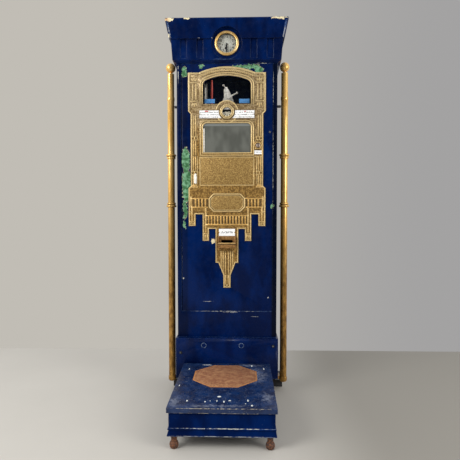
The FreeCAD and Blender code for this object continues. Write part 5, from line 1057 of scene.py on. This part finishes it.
# Signal-red fired enamel
red_print = finish("red_fired_enamel", {"IOR": 1.5, "Roughness": 0.3},
                   lambda material: node(material, "MixRGB", (grain(material, 3), "#c43a30", "#e08a80")))
red_marks = [bar(-114, -96, LABEL_Z + 32, LABEL_Z + 38), bar(88, 99, LABEL_Z + 32, LABEL_Z + 36.5)]
settle(shell("red_marks", bosses(red_marks, FACE - 4.4, 0.35, 0.1)), "door", red_print)

# Paper tape, torn and dirty: matt off-white
paper = finish("gummed_paper_tape", {"Roughness": 0.85}, two_tones(8, 4.0, 0.4, 0.7, "#fffaf0", "#d8d0c0"),
               None, pitted(4, 3.0), 0.3)
tape = [[(-172, 1120), (-166, 1116), (-158, 1118), (-157, 1150), (-160, 1168), (-166, 1170), (-172, 1160)]]
settle(shell("tape_strip", bosses(tape, FACE - 2.1, 0.5, 0.3)), "door", paper)
# A pale paper strip down the mirror's left edge: a painted reflection
reflection_strip = [bar(-WINDOW_HALF + 0.5, -WINDOW_HALF + 8, MIRROR_FOOT + 2, MIRROR_HEAD - 26)]
mirror_front = limits("mirror")[0][1]
settle(shell("mirror_edge_reflection", bosses(reflection_strip, mirror_front, 0.8, 0.3)), "door", paper)
dress(paper, "ticket_stack")

# Coin slot and ticket cup
# A square brass escutcheon with a domed boss takes the coin; a folded brass cup below catches the ticket.
softened("coin_slot_escutcheon", "coin_escutcheon", "door", cast_brass, 0.9)
dots = [turned([0, 1.6, 2.2, 2.4], [-1.6, -1.3, -0.5, 1.0], SLOT_X + x, FACE - 3, SLOT_Z + z, steps=16)
        for x in (-12, 0, 12) for z in (25, -16)]
slot_front = limits("coin_slot_escutcheon")[0][1]
crescent = [turned([14.2, 15.6, 17.4, 18.6, 18.6, 14.2], [0, -1.4, -1.6, -0.6, 1, 1], SLOT_X, slot_front,
                   SLOT_Z)]
# A flat dark ring round the coin boss: painted shade for the recess round it
recess_shadow_ring = [turned([10.5, 10.5, 14, 14], [0.6, -0.3, -0.3, 0.6], SLOT_X, slot_front, SLOT_Z)]
cheek = arc_points(SLOT_X, SLOT_Z, 10, 75, -75, 12)
boss_cheeks = [cheek, cheek[::-1] * (-1, 1) + (2 * SLOT_X, 0)]
on_plate("slot_pins", dots, spun_brass)
on_plate("slot_collar", crescent, ridge_brass, along=True, lids=(False, False))
on_plate("slot_shadow_ring", recess_shadow_ring, tarnish, along=True, lids=(False, False))

# Nickel-silver facing plate, worn by coins: pinkish white, satin
nickel = finish("nickel_silver_worn", {"Metallic": 0.6},
                lambda material: node(material, "MixRGB", (grain(material, 6, 4.0), "#e6d2c6", "#b39c8e")),
                uneven(5, 0.3, 0.45))
on_plate("slot_cheeks", bosses(boss_cheeks, slot_front, 1.2, 0.8), nickel)
slot_feet = [oval(SLOT_X + x, 1256, 5, 4) for x in (-14, 0, 14)]
on_plate("slot_brackets", bosses(slot_feet, FACE, 2.0, 1.0), cast_brass)
# Folded sheet brass, never polished inside: even brown gold, satin
sheet_brass = finish("folded_sheet_brass", {"Metallic": 0.3},
                     two_tones(9, 4.0, 0.35, 0.65, "#a87c48", "#7a5628"), uneven(6, 0.36, 0.52, 4.0),
                     pitted(3, 3.0), 0.2)
softened("ticket_cup", "ticket_tray", "door", sheet_brass, 1.1, 3)
cup_low, cup_high = limits("ticket_cup")
lip_z = cup_low[2] + 26
cup_lip = moulding([(cup_high[0] - 1, lip_z), (cup_low[0] + 1, lip_z)], half_round(4.5, 2.2),
                   cup_low[1] + 0.5, closed=False)
on_plate("tray_lip", [cup_lip], ridge_brass, lids=(True, True))
under_lip = bosses([bar(cup_low[0] + 1, cup_high[0] - 1, lip_z - 8, lip_z - 3.5)], cup_low[1], 0.4, 0.2)
on_plate("tray_shadow_line", under_lip, tarnish)
dress(dull_steel, "coin_funnel")

# Hand rails
# Two drawn brass tubes with turned double rings, a band, a foot cap and a screwed ball on top. Hands have
# kept the upper half bright, while the lower half has gone bronze brown.

BRONZE_UP_TO, BRIGHT_FROM = 620, 1500


def rail_colour(material):
    """Polished gold at the top that turns to brown bronze below, in uneven streaks."""
    height = height_mm(material)
    streak = node(material, "Math", (grain(material, 26, 4.0, (1, 1, 5)), 340.0), operation="MULTIPLY")
    drift = node(material, "Math", (height, streak))
    bright = two_tones(20, 3.0, 0.35, 0.7, "#ffd27e", "#eab45c", (1, 1, 5))(material)
    bronze = two_tones(12, 5.0, 0.35, 0.65, "#b98c44", "#7c5826", (1, 1, 3))(material)
    metal = node(material, "MixRGB",
                 (node(material, "MapRange", (drift, BRONZE_UP_TO, BRIGHT_FROM)), bronze, bright))
    hollow = node(material, "AmbientOcclusion", {"Distance": 6 * MM}, samples=8).outputs["AO"]
    return node(material, "MixRGB", (node(material, "MapRange", (hollow, 0.8, 0.4)), metal, "#2e1d08"))


# Drawn brass tube, polished by hands above and tarnished below: clear highlights that soften downwards
rail_brass = finish("drawn_brass_tube_handled", {"Metallic": 0.5}, rail_colour,
                    uneven(14, 0.16, 0.3, 3.0, (1, 1, 4)), pitted(30, 2.0, (1, 1, 4)), 0.1)
rail_low, rail_high = limits("right_rail")
RAIL_X = (rail_low[0] + rail_high[0]) / 2
RAIL_Y = (rail_low[1] + rail_high[1]) / 2
TUBE, UPPER_TUBE = 18.5, 18.0
RING, SMALL_RING, RING_THICK = 27.5, 24.0, 13.0
BAND = rail_high[2] - 144
RING_HIGH = BAND - 296
RING_LOW = RING_HIGH - 260


def quarter_round(middle, radius, half, root):
    """Outline points of one turned ring: a swelling from the tube to radius and back, as half a sine wave."""
    turn = np.linspace(0, np.pi, 9)
    return np.stack([root + (radius - root) * np.sin(turn) ** 0.6, middle - half * np.cos(turn)], axis=-1)


def double_ring(middle, lower, upper):
    """Two turned rings, one above the other."""
    return np.concatenate([quarter_round(middle - RING_THICK / 2, lower, RING_THICK / 2 - 0.3, TUBE),
                           quarter_round(middle + RING_THICK / 2, upper, RING_THICK / 2 - 0.3, TUBE)])


foot_z = rail_low[2]
rail_outline = np.concatenate([[(0, foot_z), (TUBE - 3, foot_z), (TUBE, foot_z + 3), (TUBE, foot_z + 6),
                                (TUBE + 2.5, foot_z + 8), (TUBE + 2.5, foot_z + 24), (TUBE, foot_z + 26)],
                               double_ring(RING_LOW, RING, SMALL_RING),
                               double_ring(RING_HIGH, SMALL_RING, RING),
                               [(TUBE, BAND), (TUBE + 1.5, BAND + 2), (TUBE + 1.5, BAND + 19),
                                (TUBE, BAND + 21), (UPPER_TUBE, BAND + 22), (UPPER_TUBE, rail_high[2]),
                                (0, rail_high[2])]])


def on_both_rails(label, name, form, steps, degrees):
    """The same turned form, an outline (radius, height), on the left rail and on the right one."""
    for side, word in ((-1, "left_"), (1, "right_")):
        sheet = turned(form[:, 0], form[:, 1], side * RAIL_X, RAIL_Y, 0, "z", steps)
        piece = shell(word + label, [sheet], lids=(False, False))
        crease(settle(piece, "machine", rail_brass, (word + name,)), degrees)


on_both_rails("hand_rail", "rail", rail_outline, 56, 40)
ball_low, ball_high = limits("right_finial")
BALL = (ball_high[0] - ball_low[0]) / 2
ball_turn = np.linspace(0, np.pi * 0.88, 24)
ball_outline = np.concatenate([
    np.stack([BALL * np.sin(ball_turn), ball_high[2] - BALL + BALL * np.cos(ball_turn)], axis=-1),
    [(8, ball_high[2] - 2 * BALL), (8, rail_high[2] + 2), (10, rail_high[2]), (0, rail_high[2])],
])
on_both_rails("ball", "finial", ball_outline, 48, 45)
softened("rail_standoffs", "rail_brackets", "machine", black_iron, 1.0)
softened("rail_stubs", "rail_lugs", "machine", rail_brass, 2.0, 3)

# Weighing platform
# A cast-iron box on four turned feet, with a half-round bead over its flared foot, under a rimmed weighing
# plate, all painted navy. The plate's paint is scuffed grey by shoes, and an eight-sided linoleum mat is
# let into it.
platform_low, platform_high = limits("weighing_plate")
TOP = platform_high[2]
SCUFFS = ((150, -60, TOP, 60, 120, 20), (190, -330, TOP, 26, 70, 20), (-196, -380, TOP, 20, 60, 20),
          (-30, -425, TOP, 130, 16, 20), (120, 92, TOP, 70, 20, 20))
FLAKES = ((-149, -373, TOP, 3, 8, 20), (-73, -381, TOP, 3, 7, 20), (-52, -372, TOP, 2, 5, 20),
          (-17, -326, TOP, 8, 7, 20), (-24, -372, TOP, 2, 9, 20), (6, -379, TOP, 3, 10, 20),
          (30, -368, TOP, 6, 4, 20), (106, -365, TOP, 3, 12, 20), (122, -416, TOP, 4, 7, 20),
          (96, -398, TOP, 2, 5, 20), (-100, 94, TOP, 26, 4, 20), (130, 84, TOP, 4, 12, 20),
          (190, 40, TOP, 3, 14, 20), (-186, 30, TOP, 3, 12, 20), (-205, -200, TOP, 2, 10, 20))


def tread_colour(material):
    """The column's navy, rubbed grey in patches, with pale specks and fine scratches."""
    navy = two_tones(60, 4.0, 0.35, 0.65, "#02173c", "#0c2a56")(material)
    rubbed = node(material, "MapRange", (nearness(material, SCUFFS, 26, 70), 1.2, 0.3, 0.0, 0.5))
    navy = node(material, "MixRGB",
                (node(material, "Math", (rubbed, blots(material, 9, 5.0, 0.3, 0.6)), operation="MULTIPLY"),
                 navy, "#8b93a6"))
    specks = blots(material, 3.4, 2.0, 0.7, 0.74, 0.0, 0.8)
    scratches = blots(material, 3, 2.0, 0.68, 0.72, 0.0, 0.35, stretch=(7, 1, 1))
    marked = node(material, "MixRGB",
                  (node(material, "Math", (specks, scratches), operation="MAXIMUM"), navy, "#c3c6c4"))
    rim = nearness(material,
                   ((0, platform_low[1], TOP - 1, 230, 3, 1.5), (0, platform_low[1], TOP - 21, 230, 3, 1.3)),
                   1.6, 12)
    edge_wear = node(material, "Math",
                     (node(material, "MapRange", (rim, 1.1, 0.7)), blots(material, 12, 4.0, 0.42, 0.56)),
                     operation="MULTIPLY")
    flakes = node(material, "MapRange", (nearness(material, FLAKES, 3, 7), 1.05, 0.95))
    return node(material, "MixRGB",
                (flakes, node(material, "MixRGB", (edge_wear, marked, "#a9a18f")), "#dfe2dc"))


# The same alkyd enamel underfoot: scuffed, so its gloss is broken
scuffed_enamel = finish("navy_alkyd_enamel_scuffed", {"IOR": 1.5}, tread_colour,
                        uneven(18, 0.26, 0.6, 5.0), pitted(3, 4.0), 0.3)
# The column's enamel again, dulled by mopping near the floor, so that it hardly mirrors it
dulled_enamel = finish("navy_alkyd_enamel_dulled", {"IOR": 1.5, "Specular IOR Level": 0.03}, paint_colour,
                       uneven(18, 0.5, 0.65, 4.0), paint_height, 0.25)
softened("weighing_plate", "tread_plate", "platform", scuffed_enamel, 3.0, 4)
softened("platform_base", "platform_box", "machine", dulled_enamel, 1.6, 2)
box_low, box_high = limits("platform_base")
FLARE_OUT, FLARE_HIGH, BEAD = 7.0, 24.0, 4.0
swell = np.linspace(-np.pi / 2, np.pi / 2, 9)
bead_out = np.concatenate([[-1.0], BEAD * np.cos(swell), [-1.0]])
bead_up = box_low[2] + FLARE_HIGH + BEAD + np.concatenate([[-BEAD], BEAD * np.sin(swell), [BEAD]])
turns = np.array([(-1, 0), (-1, -1), (1, -1), (1, 0)], float)
bead_path = np.array([(box_low[0] + FLARE_OUT, box_high[1] - 12),
                      (box_low[0] + FLARE_OUT, box_low[1] + FLARE_OUT),
                      (box_high[0] - FLARE_OUT, box_low[1] + FLARE_OUT),
                      (box_high[0] - FLARE_OUT, box_high[1] - 12)])
# Each profile point goes out from the box's face by its reach, along both sides at once where the bead
# turns a corner
bead = np.stack([bead_path[:, :1] + turns[:, :1] * bead_out, bead_path[:, 1:] + turns[:, 1:] * bead_out,
                 np.repeat(bead_up[None, :], 4, axis=0)], axis=-1)
crease(settle(shell("box_bead", [bead], lids=(True, True)), "machine", dulled_enamel), 40)

mat_low, mat_high = limits("platform_mat")
MAT_HALF, MAT_MIDDLE = float(mat_high[0]), float(mat_low[1] + mat_high[1]) / 2


def mat_colour(material):
    """Reddish brown, worn to orange at its rim.

    The rim is where the eight-sided reach, the greatest offset along the sides and diagonals, is full.
    """
    brown = two_tones(30, 5.0, 0.35, 0.68, "#8a5a3e", "#a87a55")(material)
    stains = node(material, "MixRGB", (blots(material, 8, 5.0, 0.52, 0.7, 0.0, 0.7), brown, "#5d3a2c"))
    parts = node(material, "SeparateXYZ", [place_mm(material)]).outputs
    aside = node(material, "Math", [parts["X"]], operation="ABSOLUTE")
    along = node(material, "Math", [node(material, "Math", (parts["Y"], MAT_MIDDLE), operation="SUBTRACT")],
                 operation="ABSOLUTE")
    corner = node(material, "Math", (node(material, "Math", (aside, along)), math.sqrt(0.5)),
                  operation="MULTIPLY")
    reach = node(material, "Math", (node(material, "Math", (aside, along), operation="MAXIMUM"), corner),
                 operation="MAXIMUM")
    ragged = node(material, "Math",
                  (reach, node(material, "Math", (grain(material, 12, 3.0), 6.0), operation="MULTIPLY")))
    return node(material, "MixRGB",
                (node(material, "MapRange", (ragged, MAT_HALF - 3.5, MAT_HALF - 1.5, 0.0, 0.75)), stains,
                 "#b87c42"))


# Pressed linoleum on jute: matt, slightly pitted, its burlap grain too fine to see and drawn at 3 mm
linoleum = finish("pressed_linoleum", {"IOR": 1.45}, mat_colour,
                  uneven(10, 0.42, 0.68), pitted(3, 5.0), 0.5)
softened("platform_mat", "linoleum_mat", "platform", linoleum, 0.8)

# Cast iron gone rusty from wet floors: rough, flaky brown
rusty_iron = finish("cast_iron_rusted", {"Metallic": 0.1}, two_tones(7, 5.0, 0.4, 0.6, "#3a2a24", "#7a4c30"),
                    uneven(5, 0.6, 0.85), pitted(2.4, 5.0), 0.6)
foot_low, foot_high = limits("platform_foot_1")
FOOT = (foot_high[0] - foot_low[0]) / 2
foot_top = foot_high[2]
bun = np.linspace(-0.45 * np.pi, 0.42 * np.pi, 14)
foot_outline = np.concatenate([
    [(0, 0), (FOOT * 0.62, 0)],
    np.stack([FOOT * (0.55 + 0.45 * np.cos(bun)), 15 + 15 * np.sin(bun)], axis=-1),
    [(12.5, 32), (12, 36), (12, foot_top - 14), (16, foot_top - 9), (16, foot_top), (0, foot_top)],
])
for number in range(1, 5):
    low, high = limits("platform_foot_" + str(number))
    centre = (low + high) / 2
    foot = shell("bun_foot_" + str(number),
                 [turned(foot_outline[:, 0], foot_outline[:, 1], centre[0], centre[1], 0, "z", 36)],
                 lids=(False, False))
    crease(settle(foot, "machine", rusty_iron, ("platform_foot_" + str(number),)), 50)

# Number wheel
# A thin disc that the pendulum turns, painted cream, with the weight's figures round its edge and a
# chequered track under them. It passes behind the port.
wheel_low, wheel_high = limits("number_wheel")
WHEEL = wheel_high[0]
WHEEL_Z = (wheel_low[2] + wheel_high[2]) / 2
wheel_front = FRONT + 58
# Cream enamel on tinplate: warm white, faintly yellow
cream_enamel = finish("cream_enamel_on_tinplate", {"IOR": 1.5, "Roughness": 0.4},
                      lambda material: node(material, "MixRGB",
                                            (grain(material, 20, 4.0), "#e9e2cc", "#cfc6ab")))
softened("number_wheel", "figure_wheel", "wheel", cream_enamel, 0.3)
check_marks = np.concatenate([spoke_marks(48, WHEEL - 17, WHEEL - 12, 2.2, 0, WHEEL_Z, skip=2),
                              spoke_marks(48, WHEEL - 28, WHEEL - 23, 1.8, 0, WHEEL_Z, skip=2)])
checks = shell("checks", slabs(check_marks, wheel_front - 0.4, wheel_front + 0.3), lids=(True, True))
weights = figures([str(number * 10) for number in range(24)], WHEEL - 20, 13, 0, WHEEL_Z, wheel_front - 0.2,
                  15, True, 0.3)
crease(settle(gathered("wheel_figures", weights, (checks,)), "wheel", black_figures))

# Works
# Behind the door: a steel plate and shelf across the column, a grey cast printer with its arm, a zinc
# magazine of card tickets, a red ribbon rod, chutes and a cash box, and below them the lever and draw rod.

# Grey-painted zinc casting: satin, chipped at its corners
grey_casting = finish("zinc_casting_grey_painted", {"IOR": 1.45},
                      two_tones(8, 4.0, 0.35, 0.7, "#dcd9d0", "#a4a29a"), uneven(6, 0.35, 0.55), pitted(3),
                      0.2)
softened("printer_casting", "printer_body", "machine", grey_casting, 2.0, 3)
softened("print_arm", "printing_arm", "arm", grey_casting, 0.8)
softened("ticket_magazine", "magazine_channel", "machine", grey_casting, 0.5)

# Black japanning on steel, for what must not show behind the window; its near black also stands in for
# the shade inside the column
japanned_shade_black = finish("steel_black_japanned_and_shade", {"IOR": 1.45}, two_tones(10, 4.0, 0.4, 0.7, "#101113", "#22242a"),
                  uneven(9, 0.4, 0.6))
dress(japanned_shade_black, "mechanism_plate", "mechanism_shelf", "ticket_chute", "pendulum_stud")

# Red-lacquered rod: flat brick red
red_lacquer = finish("red_lacquered_steel", {"IOR": 1.45, "Roughness": 0.45},
                     lambda material: node(material, "MixRGB",
                                           (grain(material, 14, 4.0), "#d0564c", "#a83c34")))
softened("ribbon_rod", "ribbon_post", "machine", red_lacquer, 0.8)

# Blue printed card: flat sky blue with paler scuffs
blue_card = finish("printed_blue_card", {"Roughness": 0.6},
                   lambda material: node(material, "MixRGB",
                                         (blots(material, 3, 4.0, 0.5, 0.7, 0.0, 0.6), "#3f86c8",
                                          "#9cc2dc")))
softened("notice_cards", "blue_notices", "door", blue_card, 0.2)

# Bare cast iron, oiled: dark grey, half dull
bare_iron = finish("cast_iron_oiled", {"Metallic": 0.7}, two_tones(14, 4.0, 0.4, 0.65, "#54524e", "#2f2b26"),
                   uneven(8, 0.4, 0.6), pitted(2.5, 4.0), 0.25)
softened("base_lever", "scale_lever", "lever", bare_iron, 1.5)
softened("fulcrum_blocks", "fulcrum_seats", "machine", bare_iron, 1.0)
softened("pendulum", "balance_pendulum", "pendulum", bare_iron, 0.5)
dress(bare_iron, "draw_rod")

SPANGLE = 12.0


def zinc_colour(material):
    """Galvanised spangle: flat grey facets about 12 mm across."""
    where = node(material, "VectorMath", {0: place_mm(material), "Scale": 1 / SPANGLE}, operation="SCALE")
    facets = node(material, "TexVoronoi", {"Vector": where, "Scale": 1.0}).outputs["Color"]
    return node(material, "MixRGB", (node(material, "SeparateXYZ", [facets]), "#8e9294", "#b0b4b4"))


# Galvanised sheet: pale grey spangle, dull
zinc = finish("galvanised_sheet", {"Metallic": 0.8}, zinc_colour,
              uneven(9, 0.36, 0.55))
dress(zinc, "coin_chute", "cash_box", "cash_box_shelf")

# Floor, wall, light and camera
# A pale floor with painted shade towards the right, a wall that only the camera sees, painted lighter at the
# left, a large soft light at the left and above, a weaker one at the right, two small lamps behind the window
# and the port, and a grey room for the brass to mirror.


def sheet_of_stage(label, corners, material):
    """One flat four-cornered stage surface, corners in metres."""
    mesh = bpy.data.meshes.new(label)
    mesh.from_pydata(corners, [], [(0, 1, 2, 3)])
    piece = bpy.data.objects.new(label, mesh)
    bpy.context.scene.collection.objects.link(piece)
    mesh.materials.append(material)
    return piece


def floor_colour(material):
    """Pale warm grey, darkened towards the right by painted shade."""
    aside = node(material, "SeparateXYZ", [place_mm(material)]).outputs["X"]
    plain = node(material, "MixRGB", (grain(material, 400, 3.0), "#c4c0b8", "#bcb8b0"))
    return node(material, "MixRGB", (node(material, "MapRange", (aside, 100, 700)), plain, "#8d8981"))


floor_paint = finish("pale_floor", {"Roughness": 0.7}, floor_colour)
WALL_Y, STAGE = 0.97, 6.0
sheet_of_stage("floor", [(-STAGE, -STAGE, 0), (STAGE, -STAGE, 0), (STAGE, WALL_Y, 0), (-STAGE, WALL_Y, 0)],
               floor_paint)


def soft_light(label, place, target, size, power):
    """A square area light at a place, turned towards a target."""
    lamp = bpy.data.lights.new(label, "AREA")
    lamp.size = size
    lamp.energy = power
    holder = bpy.data.objects.new(label, lamp)
    bpy.context.scene.collection.objects.link(holder)
    holder.location = place
    away = np.array(target, float) - np.array(place, float)
    holder.rotation_euler = (math.acos(away[2] / np.linalg.norm(away)) - math.pi, 0,
                             math.atan2(away[1], away[0]) + math.pi / 2)
    return holder


soft_light("window_light", (-2.6, -2.2, 2.5), (0, 0.1, 1.0), 1.6, 85)
soft_light("fill_light", (2.8, -2.0, 1.6), (0, 0.1, 1.0), 1.4, 40)
soft_light("works_light", (0.0, 0.18, 1.70), (0, 0.22, 1.5), 0.03, 0.1)
soft_light("port_light", (0.0, 0.18, 1.44), (0, 0.208, 1.485), 0.03, 0.05)
sky = bpy.data.worlds.new("sky")
sky.use_nodes = True
bpy.context.scene.world = sky


def surroundings(world):
    """A grey room: pale above, two bright side walls before the object, dark behind the viewer.

    Where the view is direct it is a wall with painted light: a little lighter at the left.
    """
    way = node(world, "SeparateXYZ", [node(world, "TexCoord").outputs["Generated"]]).outputs
    above = node(world, "MapRange", (way["Z"], 0.3, 0.9, 0.0, 0.5))
    side_walls = node(world, "MapRange", (node(world, "Math", [way["X"]], operation="ABSOLUTE"), 0.4, 0.6))
    before = node(world, "MapRange", (way["Y"], 0.1, -0.2, 0.25, 0.9))
    beside = node(world, "Math", (side_walls, before), operation="MULTIPLY")
    behind = node(world, "MapRange", (way["Y"], -0.5, 0.6, 0.1, 0.45))
    level = node(world, "Math", (node(world, "Math", (above, beside)), behind))
    room = node(world, "CombineXYZ", (level, level, level))
    # Painted light on the backdrop: lighter at the left, where the light comes from
    wall = node(world, "MixRGB", (node(world, "MapRange", (way["X"], -0.3, 0.4)), "#c1bdb5", "#a3a2a2"))
    direct = node(world, "LightPath").outputs["Is Camera Ray"]
    return node(world, "MixRGB", (direct, room, wall))


background = sky.node_tree.nodes["Background"]
sky.node_tree.links.new(output_of(surroundings(sky)), background.inputs["Color"])
background.inputs["Strength"].default_value = 1.0

camera_data = bpy.data.cameras.new("view")
camera = bpy.data.objects.new("view", camera_data)
bpy.context.scene.collection.objects.link(camera)
FRAME_PX, FOCAL_PX, AXIS_PX = 460.0, 465.06, 237.03
camera_data.sensor_width = 36.0
camera_data.lens = camera_data.sensor_width * FOCAL_PX / FRAME_PX
camera_data.shift_y = (AXIS_PX - FRAME_PX / 2) / FRAME_PX
camera.location = (0.0863, -2.2815, 0.9515)
camera.rotation_euler = (math.pi / 2 - 0.0466, 0.0, 0.0289)
bpy.context.scene.camera = camera
bpy.context.scene.view_settings.view_transform = "Standard"
